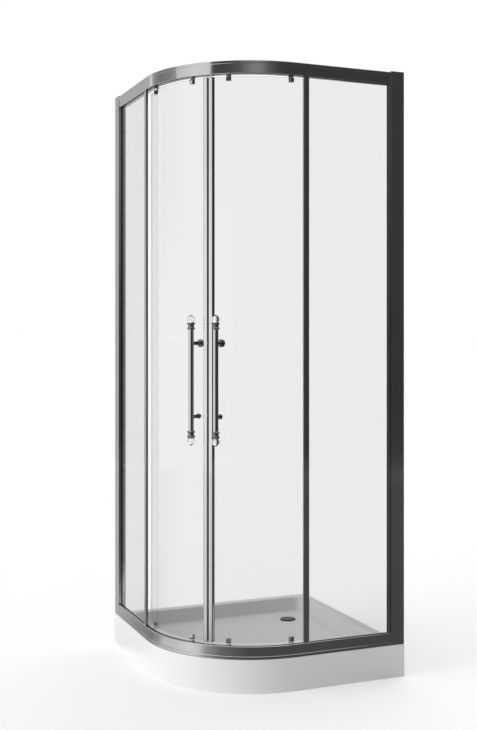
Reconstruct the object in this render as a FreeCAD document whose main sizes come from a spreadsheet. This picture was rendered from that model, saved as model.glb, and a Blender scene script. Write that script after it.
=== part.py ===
import FreeCAD, Part
import math
import os
import re
import Sketcher
from FreeCAD import Placement, Rotation, Vector

# Quadrant shower enclosure, millimetres. The room's two walls are the planes X = +half and
# Y = +half, the curved front faces -X -Y, and the floor is Z = 0 under the middle of the tray.
# "Depth" is measured inwards from the outer face of the rails, "along" runs beside the wall panel.

sizes = {
    # tray
    "tray_width": "800",
    "tray_height": "110",
    "tray_radius": "385",
    "tray_skin": "5",
    "floor_skin": "6",
    "wall_rim": "40",
    "front_rim": "62",
    "basin_depth": "48",
    "basin_draft": "27",
    "basin_corner": "40",
    "floor_fillet": "10",
    "edge_fillet": "3",
    "wall_lip": "35",
    # waste and trap
    "waste_right_offset": "156",
    "waste_back_offset": "176",
    "waste_bore": "44",
    "waste_wall": "3",
    "waste_lip": "2.5",
    "waste_step": "2",
    "waste_fit": "0.5",
    "flange_width": "63",
    "flange_skin": "2.5",
    "waste_drop": "16",
    "cover_width": "58",
    "cover_skin": "2.5",
    "cover_foot": "1.8",
    "cover_edge": "0.8",
    "cover_bevel": "3",
    "cover_dome": "1",
    "cover_foot_radius": "2",
    "plug_gap": "4",
    "plug_wall": "2",
    "gasket_skin": "3",
    "trap_width": "84",
    "trap_wall": "3",
    "trap_ground_gap": "4",
    "dip_tube_wall": "2",
    "dip_tube_gap": "10",
    "outlet_width": "32",
    "outlet_wall": "2",
    "outlet_collar": "4",
    "outlet_reach": "20",
    # steel frame and feet under the tray
    "bar_width": "25",
    "bar_height": "12",
    "bar_skin": "2",
    "bar_wall_offset": "90",
    "bar_front_offset": "195",
    "foot_width": "40",
    "foot_skin": "6",
    "stud_width": "10",
    "socket_wall": "3",
    "socket_height": "4",
    "nut_across": "17",
    "nut_height": "7",
    # curved rails
    "rail_inset": "3",
    "rail_radius": "390",
    "rail_height": "42",
    "rail_depth": "36",
    "rail_wall": "1.8",
    "fin_wall": "1.6",
    "band_height": "9",
    "band_step": "1.2",
    "rail_edge": "1",
    "groove_start": "7",
    "groove_width": "8",
    "groove_depth": "18",
    "top_ledge_depth": "30",
    "flange_lip": "5",
    # wall channels and posts
    "enclosure_height": "2066",
    "cap_skin": "2",
    "cap_gap": "1",
    "channel_width": "50",
    "channel_depth": "30",
    "channel_wall": "2",
    "wall_hole_width": "6",
    "wall_hole_spacing": "850",
    "post_reach": "8",
    "post_fit": "0.3",
    "post_gap": "8",
    "post_wall": "2",
    "post_nose": "19",
    "glass_bite": "11",
    "screw_width": "4",
    "screw_head": "8",
    "screw_head_height": "2.4",
    "screw_edge": "1",
    "screw_fit": "0.1",
    "screw_length": "9",
    "post_screw_spacing": "780",
    "block_length": "30",
    "block_fit": "0.2",
    # glass
    "fixed_glass_skin": "5",
    "door_glass_skin": "5",
    "glass_edge_gap": "1",
    "seal_fit": "0.1",
    "seal_stand": "0.8",
    # fixed panel stile
    "stile_offset": "32",
    "stile_width": "20",
    "stile_front": "6.8",
    "stile_lip": "1.5",
    "stile_web": "6",
    "stile_bevel": "1.6",
    # door
    "lead_angle": "10.8",
    "wheel_line": "24",
    "swing_gap": "1.8",
    "door_gap": "3",
    "door_tail": "57",
    "closing_gap": "0.5",
    "magnet_stand": "1",
    "magnet_width": "6",
    "magnet_tuck": "2.2",
    "closing_width": "16",
    "closing_proud": "9.5",
    "closing_back": "2.5",
    "closing_bevel": "2.5",
    "closing_bite": "10",
    "tail_seal_grip": "8",
    "tail_seal_skin": "1.2",
    "tail_seal_gap": "1.5",
    # rollers
    "running_gap": "0.3",
    "wheel_radius": "10",
    "wheel_width": "5",
    "wheel_edge": "0.6",
    "hub_share": "0.45",
    "web_share": "0.5",
    "rim_share": "0.8",
    "web_recess": "0.6",
    "axle_width": "4",
    "bearing_fit": "0.05",
    "fork_gap": "0.5",
    "fork_skin": "1.5",
    "fork_length": "11",
    "bracket_skin": "3",
    "bracket_width": "16",
    "bracket_seat": "0.4",
    "pin_head": "8",
    "clamp_width": "13",
    "clamp_height": "14",
    "clamp_depth": "5",
    "bolt_width": "6",
    "glass_hole": "10",
    "guide_width": "9",
    "guide_arm": "4",
    "stop_length": "12",
    "stop_width": "9",
    "stop_height": "12",
    # handles
    "handle_angle": "6.3",
    "handle_reach": "47.5",
    "handle_height": "1019",
    "handle_spacing": "242",
    "bar_radius": "9",
    "bar_bore": "7.6",
    "bar_length": "332",
    "collar_height": "24",
    "collar_socket": "8",
    "collar_ring": "14",
    "collar_foot": "1.5",
    "bead_height": "4",
    "bead_radius": "2.2",
    "bead_inset": "2",
    "bead_step": "1",
    "crystal_radius": "13.5",
    "crystal_seat": "3",
    "crystal_height": "25",
    "neck_radius": "6",
    "rosette_radius": "9",
    "rosette_skin": "3",
    "knob_radius": "13.5",
    "knob_depth": "13",
    "knob_neck": "3",
    "knob_edge": "2",
    "knob_shoulder": "4",
    "knob_band": "3",
    "cap_nut_depth": "8",
    "stud_radius": "3",
    "stud_end_gap": "0.5",
    "standoff_bite": "2",
    "nut_end_skin": "3",
    "thread_fit": "0.05",
}

# Places worked out from the sizes.
places = {
    "half": "tray_width / 2",
    "tray_centre": "tray_radius - half",
    "floor_top": "tray_height - basin_depth",
    "floor_under": "floor_top - floor_skin",
    "basin_wall": "tray_skin / cos(basin_draft)",
    "waste_x": "half - waste_right_offset",
    "waste_y": "half - waste_back_offset",
    "flange_top": "floor_top - 0.5",
    "flange_under": "flange_top - flange_skin",
    "waste_outer": "waste_bore / 2 + waste_wall",
    "waste_under": "flange_under - waste_drop",
    "trap_top": "floor_under - gasket_skin",
    "outlet_level": "trap_ground_gap + trap_wall + outlet_width / 2",
    "bar_under": "floor_under - bar_height",
    "bar_far": "half - bar_wall_offset",
    "bar_near": "bar_front_offset - half",
    "rail_face": "rail_inset - half",
    "centre": "rail_face + rail_radius",
    "bottom_rail_top": "tray_height + rail_height",
    "channel_top": "enclosure_height - cap_skin",
    "top_rail_top": "channel_top - cap_gap",
    "top_rail_under": "top_rail_top - rail_height",
    "groove_end": "groove_start + groove_width",
    "fin_back": "groove_end + fin_wall",
    "chamber_end": "groove_start - fin_wall",
    "face_wall": "band_step + rail_wall",
    "groove_floor": "bottom_rail_top - groove_depth",
    "groove_roof": "top_rail_under + groove_depth",
    "channel_face": "half - channel_width",
    "post_front": "channel_face - post_reach",
    "post_end": "half - channel_wall - post_gap",
    "post_outer": "channel_wall + post_fit",
    "post_inner": "channel_depth - channel_wall - post_fit",
    "pocket_end": "post_front + glass_bite",
    "post_middle": "(pocket_end + post_end) / 2",
    "block_depth": "(groove_start + top_ledge_depth - 2) / 2",
    "bottom_block": "tray_height + (rail_height - groove_depth) / 2",
    "top_block": "top_rail_top - (rail_height - groove_depth) / 2",
    "glass_face": "groove_start + (groove_width - fixed_glass_skin) / 2",
    "glass_back": "glass_face + fixed_glass_skin",
    "stile_near": "centre + stile_offset",
    "stile_far": "stile_near + stile_width",
    "stile_back": "glass_back + stile_lip",
    "glass_near": "stile_near + stile_web + glass_edge_gap",
    "glass_far": "pocket_end - glass_edge_gap",
    "glass_bottom": "groove_floor + glass_edge_gap",
    "glass_top": "groove_roof - glass_edge_gap",
    "swing": "(45 - lead_angle) / 2",
    "wheel_path": "rail_radius - wheel_line",
    "travel": "2 * wheel_path * sin(swing)",
    "door_outer": "rail_radius - stile_back - swing_gap - wheel_path * (1 - cos(swing))",
    "door_inner": "door_outer - door_glass_skin",
    "door_bottom": "bottom_rail_top + door_gap",
    "door_top": "top_rail_under - door_gap",
    "closing_start": "closing_gap / 2 + magnet_stand",
    "closing_end": "closing_start + closing_width",
    "closing_slot": "closing_end - closing_bite",
    "closing_outer": "door_outer + closing_proud",
    "closing_inner": "door_inner - closing_back",
    "closing_turn": "45 - (closing_slot + glass_edge_gap) / door_outer * 180 / pi",
    "slot_outer": "door_outer + running_gap",
    "slot_inner": "door_inner - running_gap",
    "magnet_middle": "(door_outer + door_inner) / 2",
    "tread": "top_rail_under + rail_wall + running_gap",
    "axle_level": "tread + wheel_radius",
    "fork_under": "axle_level + wheel_radius + fork_gap",
    "fork_top": "fork_under + fork_skin",
    "arm_under": "fork_top + running_gap",
    "arm_top": "arm_under + bracket_skin",
    "head_under": "arm_top + running_gap",
    "plate_outer": "door_inner - bracket_seat",
    "plate_inner": "plate_outer - bracket_skin",
    "top_clamp": "door_top - clamp_height / 2",
    "bottom_clamp": "door_bottom + clamp_height / 2",
    "guide_arm_top": "bottom_rail_top - 2",
    "fork_half": "wheel_width / 2 + fork_gap + fork_skin",
    "bar_line": "door_outer + handle_reach",
    "upper_fixing": "handle_height + handle_spacing / 2",
    "lower_fixing": "handle_height - handle_spacing / 2",
    "rosette_face": "door_outer + running_gap",
    "knob_face": "door_inner - running_gap",
}

doc = FreeCAD.newDocument("QuadrantShower")
homes = {}


def fill_sheet(name, cells):
    sheet = doc.addObject("Spreadsheet::Sheet", name)
    for row, (alias, text) in enumerate(cells.items(), start=1):
        sheet.set(f"A{row}", alias)
        sheet.set(f"B{row}", text)
        sheet.setAlias(f"B{row}", alias)
        homes[alias] = f"{name}.{alias}"
    doc.recompute()
    return sheet


def spelled(formula):
    """The formula with each alias under the name of its sheet."""
    return re.sub(r"[a-z_]+", lambda word: homes.get(word.group(), word.group()), str(formula))


sizes_sheet = fill_sheet("Sizes", sizes)
places_sheet = doc.addObject("Spreadsheet::Sheet", "Places")
for place_row, (place_alias, place_formula) in enumerate(places.items(), start=1):
    places_sheet.set(f"A{place_row}", place_alias)
    places_sheet.set(f"B{place_row}", "=" + spelled(place_formula))
    places_sheet.setAlias(f"B{place_row}", place_alias)
    homes[place_alias] = f"Places.{place_alias}"
doc.recompute()

parts = []


def value(formula):
    return float(sizes_sheet.evalExpression(spelled(formula)))


def bind(thing, path, formula):
    thing.setExpression(path, spelled(formula))


def finished(thing, label):
    """Give the sub-part its label and list it for writing."""
    thing.Label = label
    parts.append(thing)
    return thing


# ---- sketches and features ----

def new_body(name, x="0", y="0", z="0", turn=None):
    """A body whose own frame stands at x, y, z and is turned about Z."""
    body = doc.addObject("PartDesign::Body", name)
    if turn is not None:
        body.Placement = Placement(Vector(), Rotation(Vector(0, 0, 1), value(turn)))
        bind(body, "Placement.Rotation.Angle", turn)
    bind(body, "Placement.Base.x", x)
    bind(body, "Placement.Base.y", y)
    bind(body, "Placement.Base.z", z)
    return body


def radial_body(name, angle, z="0"):
    """A body at the rails' centre whose X axis points out at this angle from the closing line."""
    return new_body(name, "centre", "centre", z, f"225 + {angle}")


def corner(x, y):
    return (x, y)


def arc(x, y, radius, side):
    """An arc that ends at x, y with its centre on this side of the way it is drawn."""
    return (x, y, radius, side)


def draw_loop(sketch, corners):
    """A closed outline, held by the places of its corners and the radii of its arcs."""
    points = [Vector(value(step[0]), value(step[1]), 0) for step in corners]
    ends = []
    for number, step in enumerate(corners):
        start, end = points[number - 1], points[number]
        if len(step) == 2:
            index = sketch.addGeometry(Part.LineSegment(start, end), False)
            ends.append((index, 1, 2))
            continue
        chord = end - start
        left = Vector(-chord.y, chord.x, 0).normalize()
        rise = math.sqrt(max(value(step[2]) ** 2 - chord.Length ** 2 / 4, 0))
        sign = 1 if step[3] == "left" else -1
        middle = (start + end) * 0.5 + left * rise * sign
        first, last = (start, end) if sign > 0 else (end, start)
        angles = [math.atan2(point.y - middle.y, point.x - middle.x) for point in (first, last)]
        circle = Part.Circle(middle, Vector(0, 0, 1), value(step[2]))
        index = sketch.addGeometry(Part.ArcOfCircle(circle, *angles), False)
        ends.append((index, 1, 2) if sign > 0 else (index, 2, 1))
        place = sketch.addConstraint(Sketcher.Constraint("Radius", index, value(step[2])))
        bind(sketch, f"Constraints[{place}]", step[2])
    for number, step in enumerate(corners):
        index, _, end = ends[number]
        following, start, _ = ends[(number + 1) % len(ends)]
        sketch.addConstraint(Sketcher.Constraint("Coincident", index, end, following, start))
        for kind, formula in (("DistanceX", step[0]), ("DistanceY", step[1])):
            held = Sketcher.Constraint(kind, -1, 1, index, end, value(formula))
            place = sketch.addConstraint(held)
            bind(sketch, f"Constraints[{place}]", formula)


def draw_circle(sketch, x, y, radius):
    middle = Vector(value(x), value(y), 0)
    circle = Part.Circle(middle, Vector(0, 0, 1), value(radius))
    index = sketch.addGeometry(circle, False)
    place = sketch.addConstraint(Sketcher.Constraint("Radius", index, value(radius)))
    bind(sketch, f"Constraints[{place}]", radius)
    for kind, formula in (("DistanceX", x), ("DistanceY", y)):
        place = sketch.addConstraint(Sketcher.Constraint(kind, -1, 1, index, 3, value(formula)))
        bind(sketch, f"Constraints[{place}]", formula)


def draw(body, role, loops=(), circles=(), lift="0"):
    """A sketch on one of the body's own planes, lifted along the plane's normal."""
    sketch = body.newObject("Sketcher::SketchObject", f"{body.Name}_sketch")
    plane = next(plane for plane in body.Origin.OriginFeatures if plane.Role == role)
    sketch.AttachmentSupport = [(plane, "")]
    sketch.MapMode = "FlatFace"
    bind(sketch, "AttachmentOffset.Base.z", lift)
    for loop in loops:
        draw_loop(sketch, loop)
    for circle in circles:
        draw_circle(sketch, *circle)
    return sketch


def box(x_low, y_low, x_high, y_high):
    return [corner(x_low, y_low), corner(x_high, y_low), corner(x_high, y_high), corner(x_low, y_high)]


def extrude(body, kind, sketch, length, backwards=False, midplane=False, taper=None):
    feature = body.newObject(f"PartDesign::{kind}", f"{body.Name}_{kind.lower()}")
    feature.Profile = (sketch, [""])
    feature.Reversed = backwards
    if midplane:
        feature.Midplane = True
    bind(feature, "Length", length)
    if taper is not None:
        bind(feature, "TaperAngle", taper)
    body.Tip = feature
    return feature


def pad(body, sketch, length, backwards=False, midplane=False, taper=None):
    return extrude(body, "Pad", sketch, length, backwards, midplane, taper)


def pocket(body, sketch, length, backwards=False, midplane=False, taper=None):
    return extrude(body, "Pocket", sketch, length, backwards, midplane, taper)


def revolve(body, sketch, axis, angle="360", backwards=False):
    feature = body.newObject("PartDesign::Revolution", f"{body.Name}_revolution")
    feature.Profile = (sketch, [""])
    feature.ReferenceAxis = (sketch, [axis])
    feature.Reversed = backwards
    bind(feature, "Angle", angle)
    body.Tip = feature
    return feature


def round_edges(body, radius, wanted):
    """Fillet the edges of the body's last feature that the test picks."""
    doc.recompute()
    base = body.Tip
    names = [f"Edge{number}" for number, edge in enumerate(base.Shape.Edges, start=1) if wanted(edge)]
    feature = body.newObject("PartDesign::Fillet", f"{body.Name}_fillet")
    feature.Base = (base, names)
    bind(feature, "Radius", radius)
    body.Tip = feature
    return feature


def mirrored(right, label):
    """The left-hand piece: the right-hand one across the upright plane through the closing line."""
    left = doc.addObject("Part::Mirroring", label)
    left.Source = right
    left.Normal = Vector(1, -1, 0)
    left.Base = Vector(0, 0, 0)
    return left


def group(label, pieces):
    """Identical small pieces that share one sub-part as separate solids."""
    compound = doc.addObject("Part::Compound", label)
    compound.Links = pieces
    return finished(compound, label)


def cut(name, base, tools):
    drilled = doc.addObject("Part::Cut", name)
    drilled.Base = base
    if len(tools) > 1:
        drills = doc.addObject("Part::Compound", f"{name}_drills")
        drills.Links = tools
        drilled.Tool = drills
    else:
        drilled.Tool = tools[0]
    return drilled


def pair(right, name):
    """A right-hand sub-part and its mirrored twin."""
    finished(right, f"{name}_right")
    finished(mirrored(right, f"{name}_left"), f"{name}_left")


def panel(corners):
    """Corners given as (along, depth), for a piece of the right-hand wall panel."""
    return [(step[0], f"rail_face + {step[1]}", *step[2:]) for step in corners]


def upright(name, corners, low, high):
    """A piece of constant section that stands between two levels beside the wall panel."""
    body = new_body(name, z=low)
    pad(body, draw(body, "XY_Plane", [panel(corners)]), f"{high} - ({low})")
    return body


def radial_turned(name, angle, level, profile):
    """A piece turned about the radial line at this angle and level: corners (out, radius)."""
    body = radial_body(name, angle, level)
    revolve(body, draw(body, "XZ_Plane", [profile]), "H_Axis")
    return body


def drill(name, angle, level, radius, start, end):
    """A round bar along the radial line, for cutting a hole."""
    return radial_turned(name, angle, level, box(start, "0", end, radius))


# ---- tray ----

def quadrant(grow, corner_radius="0", wall_inset="0", front_inset="0"):
    """The tray's plan: square to the walls, round in front, moved out by grow."""
    far = f"half - ({wall_inset}) + ({grow})"
    near = f"{front_inset} - half - ({grow})"
    bend = f"tray_radius - ({front_inset}) + ({grow})"
    turn = f"{corner_radius} + ({grow})"
    if corner_radius == "0":
        return [
            corner(far, near), corner(far, far), corner(near, far),
            corner(near, "tray_centre"), arc("tray_centre", near, bend, "left"),
        ]
    return [
        corner(f"{far} - ({turn})", near), arc(far, f"{near} + {turn}", turn, "left"),
        corner(far, f"{far} - ({turn})"), arc(f"{far} - ({turn})", far, turn, "left"),
        corner(f"{near} + {turn}", far), arc(near, f"{far} - ({turn})", turn, "left"),
        corner(near, "tray_centre"), arc("tray_centre", near, bend, "left"),
    ]


def at_level(level):
    return lambda edge: abs(edge.BoundBox.ZMin - level) + abs(edge.BoundBox.ZMax - level) < 0.01


def make_tray():
    body = new_body("tray_shell")
    pad(body, draw(body, "XY_Plane", [quadrant("0")]), "tray_height")
    round_edges(body, "edge_fillet", at_level(value("tray_height")))
    pocket(body, draw(body, "XY_Plane", [quadrant("0 - tray_skin")]), "tray_height - tray_skin", True)
    basin = ("basin_corner", "wall_rim", "front_rim")
    bowl = draw(body, "XY_Plane", [quadrant("basin_wall", *basin)], lift="tray_height - edge_fillet")
    pad(body, bowl, "basin_depth + floor_skin - edge_fillet", True, taper="0 - basin_draft")
    hollow = draw(body, "XY_Plane", [quadrant("0", *basin)], lift="tray_height")
    pocket(body, hollow, "basin_depth", taper="0 - basin_draft")
    floor_level, rim_level = value("floor_top"), value("tray_height")
    inside = value("half - wall_rim") + 1
    round_edges(body, "floor_fillet", at_level(floor_level))
    on_rim = at_level(rim_level)
    round_edges(body, "edge_fillet", lambda edge: on_rim(edge) and edge.BoundBox.XMax < inside
                and edge.BoundBox.YMax < inside and edge.BoundBox.XMin > value("front_rim - half") - 1
                and edge.BoundBox.YMin > value("front_rim - half") - 1)
    waste = [("waste_x", "waste_y", "flange_width / 2 + waste_fit")]
    pocket(body, draw(body, "XY_Plane", circles=waste, lift="floor_top"), "floor_top - flange_under")
    hole = [("waste_x", "waste_y", "waste_outer + waste_fit")]
    pocket(body, draw(body, "XY_Plane", circles=hole, lift="floor_top"), "basin_depth")
    skirt_near, skirt_far = "tray_skin - half", "half - tray_skin"
    windows = [
        corner("half + 1", skirt_near), corner("half + 1", "half + 1"), corner(skirt_near, "half + 1"),
        corner(skirt_near, skirt_far), corner(skirt_far, skirt_far), corner(skirt_far, skirt_near),
    ]
    pocket(body, draw(body, "XY_Plane", [windows]), "tray_height - wall_lip", True)
    finished(body, "tray_shell")


def make_waste():
    middle = {"x": "waste_x", "y": "waste_y"}
    bore = "waste_bore / 2"
    flange = new_body("waste_flange", **middle)
    lip = f"{bore} - waste_lip"
    revolve(flange, draw(flange, "XZ_Plane", [[
        corner(bore, "waste_under + waste_step"), corner(bore, "flange_top"),
        corner("flange_width / 2", "flange_top"), corner("flange_width / 2", "flange_under"),
        corner("waste_outer", "flange_under"),
        corner("waste_outer", "waste_under"), corner(lip, "waste_under"),
        corner(lip, "waste_under + waste_step"),
    ]]), "V_Axis")
    finished(flange, "waste_flange")

    cover = new_body("drain_cover", **middle)
    under = "flange_top + running_gap + cover_foot"
    revolve(cover, draw(cover, "XZ_Plane", [[
        corner("0", under), corner("cover_width / 2 - cover_edge", under),
        corner("cover_width / 2", f"{under} + cover_edge"),
        corner("cover_width / 2 - cover_bevel", f"{under} + cover_skin"),
        corner("0", f"{under} + cover_skin + cover_dome"),
    ]]), "V_Axis")
    foot_line = "(waste_bore / 2 + cover_width / 2) / 2"
    foot_spots = [
        (f"{foot_line} * cos({angle})", f"{foot_line} * sin({angle})", "cover_foot_radius")
        for angle in (90, 210, 330)
    ]
    pad(cover, draw(cover, "XY_Plane", circles=foot_spots, lift=under), "cover_foot", True)
    plug_outer = "waste_bore / 2 - plug_gap"
    plug = [("0", "0", plug_outer), ("0", "0", f"{plug_outer} - plug_wall")]
    pad(cover, draw(cover, "XY_Plane", circles=plug, lift=under), "waste_drop / 2", True)
    finished(cover, "drain_cover")

    gasket = new_body("waste_gasket", **middle)
    ring = [("0", "0", "trap_width / 2 - 2"), ("0", "0", "waste_outer + 1")]
    pad(gasket, draw(gasket, "XY_Plane", circles=ring, lift="trap_top"), "gasket_skin")
    finished(gasket, "waste_gasket")

    trap = new_body("trap_body", **middle)
    outer, inner = "trap_width / 2", "trap_width / 2 - trap_wall"
    base, neck = "trap_ground_gap", "waste_outer + running_gap"
    revolve(trap, draw(trap, "XZ_Plane", [[
        corner("0", base), corner(outer, base), corner(outer, "trap_top"), corner(neck, "trap_top"),
        corner(neck, "trap_top - trap_wall"), corner(inner, "trap_top - trap_wall"),
        corner(inner, f"{base} + trap_wall"), corner("0", f"{base} + trap_wall"),
    ]]), "V_Axis")
    wall_line = "trap_width / 2"
    collar_end = f"0 - {wall_line} - outlet_collar"
    collar = draw(trap, "XZ_Plane", circles=[("0", "outlet_level", "outlet_width / 2 + 2")], lift=collar_end)
    pad(trap, collar, "outlet_collar + 1.5 * trap_wall")
    spigot = draw(trap, "XZ_Plane", circles=[("0", "outlet_level", "outlet_width / 2")],
                  lift=f"{collar_end} - outlet_reach")
    pad(trap, spigot, "outlet_reach + 1")
    way = draw(trap, "XZ_Plane", circles=[("0", "outlet_level", "outlet_width / 2 - outlet_wall")],
               lift=f"{collar_end} - outlet_reach")
    pocket(trap, way, "outlet_reach + outlet_collar + 4 * trap_wall", True)
    finished(trap, "trap_body")

    dip = new_body("trap_dip_tube", **middle)
    seat = "waste_under + 2 + running_gap"
    tube_outer, tube_inner = f"{lip} - running_gap", f"{lip} - running_gap - dip_tube_wall"
    revolve(dip, draw(dip, "XZ_Plane", [[
        corner(tube_inner, f"{base} + trap_wall + dip_tube_gap"),
        corner(tube_outer, f"{base} + trap_wall + dip_tube_gap"), corner(tube_outer, seat),
        corner(f"{bore} - running_gap", seat), corner(f"{bore} - running_gap", f"{seat} + 2"),
        corner(tube_inner, f"{seat} + 2"),
    ]]), "V_Axis")
    finished(dip, "trap_dip_tube")


def make_underframe():
    """A ladder of folded steel channels, open below, on five screwed feet."""
    wide = "bar_width / 2"
    middle = "(bar_near + bar_far) / 2 - bar_width"

    def ladder(slack):
        """Loops of the ladder's plan, with its bars thinned on both sides by slack."""
        low, high = f"bar_near - {wide} + {slack}", f"bar_far + {wide} - {slack}"
        near, far = f"bar_near + {wide} - {slack}", f"bar_far - {wide} + {slack}"
        before, after = f"{middle} - {wide} + {slack}", f"{middle} + {wide} - {slack}"
        return [box(low, low, high, high), box(near, near, far, before), box(near, after, far, far)]

    frame = new_body("tray_support_frame")
    pad(frame, draw(frame, "XY_Plane", ladder("0"), lift="bar_under"), "bar_height")
    gutter = draw(frame, "XY_Plane", ladder("bar_skin"), lift="bar_under")
    pocket(frame, gutter, "bar_height - bar_skin", True)
    finished(frame, "tray_support_frame")

    spots = [
        ("bar_near", "bar_near"), ("bar_far", "bar_near"), ("bar_near", "bar_far"),
        ("bar_far", "bar_far"), ("(bar_near + bar_far) / 2", middle),
    ]
    feet, nuts = [], []
    nut_top = "floor_under - bar_skin - running_gap"
    for number, (x, y) in enumerate(spots, start=1):
        foot = new_body(f"foot_{number}", x, y)
        revolve(foot, draw(foot, "XZ_Plane", [[
            corner("0", "0"), corner("foot_width / 2", "0"), corner("foot_width / 2", "foot_skin - 2"),
            corner("stud_width / 2 + socket_wall", "foot_skin"),
            corner("stud_width / 2 + socket_wall", "foot_skin + socket_height"),
            corner("stud_width / 2", "foot_skin + socket_height"), corner("stud_width / 2", nut_top),
            corner("0", nut_top),
        ]]), "V_Axis")
        feet.append(foot)
        nut = new_body(f"foot_nut_{number}", x, y)
        hexagon = [
            corner(f"nut_across / sqrt(3) * cos({turn})", f"nut_across / sqrt(3) * sin({turn})")
            for turn in range(0, 360, 60)
        ]
        bore = [("0", "0", "stud_width / 2 + thread_fit")]
        pad(nut, draw(nut, "XY_Plane", [hexagon], bore, f"{nut_top} - nut_height"), "nut_height")
        nuts.append(nut)
    group("levelling_feet", feet)
    group("foot_lock_nuts", nuts)


# ---- rails ----

def bent_rail(name, loops, level):
    """One extrusion bent to the quadrant: straight, a quarter turn, straight.

    The loops are corners (depth, height) of its section, with the height from this level."""
    def section(loop):
        return [(f"{step[0]} - rail_radius", *step[1:]) for step in loop]

    body = new_body(name, "centre", "centre", level)
    right = draw(body, "YZ_Plane", [section(loop) for loop in loops])
    pad(body, right, "channel_face - centre")
    revolve(body, right, "V_Axis", "90", True)
    left = draw(body, "XZ_Plane", [section(loop) for loop in loops])
    pad(body, left, "channel_face - centre", True)
    return body


def make_rails():
    band, step = "band_height", "band_step"
    ledge = "rail_height - groove_depth"
    bottom_outline = [
        corner("0", "0"), corner("rail_depth", "0"), corner("rail_depth", ledge), corner("fin_back", ledge),
        corner("fin_back", "rail_height"), corner("groove_end", "rail_height"), corner("groove_end", ledge),
        corner("groove_start", ledge), corner("groove_start", "rail_height"),
        corner(f"{step} + rail_edge", "rail_height"),
        arc(step, "rail_height - rail_edge", "rail_edge", "left"),
        corner(step, f"{band} + {step}"), corner("0", band),
    ]
    bottom_chamber = [
        corner("face_wall", "rail_wall"), corner("rail_depth - rail_wall", "rail_wall"),
        corner("rail_depth - rail_wall", f"{ledge} - rail_wall"),
        corner("chamber_end", f"{ledge} - rail_wall"), corner("chamber_end", "rail_height - rail_wall"),
        corner("face_wall", "rail_height - rail_wall"),
    ]
    finished(bent_rail("bottom_rail", [bottom_outline, bottom_chamber], "tray_height"), "bottom_rail")

    roof, flange = "groove_depth + rail_wall", "rail_height - rail_wall"
    top_outline = [
        corner("groove_start", "0"), corner("groove_start", "groove_depth"),
        corner("groove_end", "groove_depth"), corner("groove_end", "0"), corner("top_ledge_depth", "0"),
        corner("top_ledge_depth", "rail_wall"), corner("fin_back", "rail_wall"), corner("fin_back", roof),
        corner("face_wall", roof), corner("face_wall", flange), corner("rail_depth - rail_wall", flange),
        corner("rail_depth - rail_wall", "rail_height - flange_lip"),
        corner("rail_depth", "rail_height - flange_lip"), corner("rail_depth", "rail_height"),
        corner("0", "rail_height"), corner("0", f"rail_height - {band}"),
        corner(step, f"rail_height - {band} - {step}"), corner(step, "rail_edge"),
        arc(f"{step} + rail_edge", "0", "rail_edge", "left"),
    ]
    top_chamber = box("face_wall", "rail_wall", "chamber_end", "groove_depth")
    finished(bent_rail("top_rail", [top_outline, top_chamber], "top_rail_under"), "top_rail")

    ledge_top = "top_rail_under + rail_wall"
    start = "centre + travel + wheel_radius + 1"
    stop_low, stop_high = "wheel_line - stop_width / 2", "wheel_line + stop_width / 2"
    corners = box(start, stop_low, f"{start} + stop_length", stop_high)
    right = upright("bump_stop", corners, ledge_top, f"{ledge_top} + stop_height")
    group("bump_stops", [right, mirrored(right, "bump_stop_left")])


# ---- wall side of each fixed panel ----

def make_wall_channel():
    wall, depth = "channel_wall", "channel_depth"
    section = [
        corner("channel_face", "0"), corner("half", "0"),
        corner("half", depth), corner("channel_face", depth),
        corner("channel_face", f"{depth} - {wall}"), corner(f"half - {wall}", f"{depth} - {wall}"),
        corner(f"half - {wall}", wall), corner("channel_face", wall),
    ]
    body = upright("wall_channel_right", section, "tray_height", "channel_top")
    levels = [f"(channel_top - tray_height) / 2 + {step} * wall_hole_spacing" for step in (-1, 0, 1)]
    holes = [(f"rail_face + {depth} / 2", level, "wall_hole_width / 2") for level in levels]
    pocket(body, draw(body, "YZ_Plane", circles=holes, lift="half + 1"), f"{wall} + 2")
    screws = [("post_middle", level) for level in screw_levels()]
    spots = [(along, f"{level} - tray_height", "screw_width / 2 + screw_fit") for along, level in screws]
    inner = draw(body, "XZ_Plane", circles=spots, lift=f"0 - rail_face - {depth} - 1")
    pocket(body, inner, f"{wall} + 2", True)
    pair(body, "wall_channel")

    cap = upright("channel_cap", box("channel_face", "0", "half", depth), "channel_top", "enclosure_height")
    group("channel_caps", [cap, mirrored(cap, "channel_cap_left")])


def screw_levels():
    """Levels of the screws that hold a post in its wall channel."""
    return [f"(tray_height + channel_top) / 2 + {step} * post_screw_spacing" for step in (-1, 0, 1)]


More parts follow.
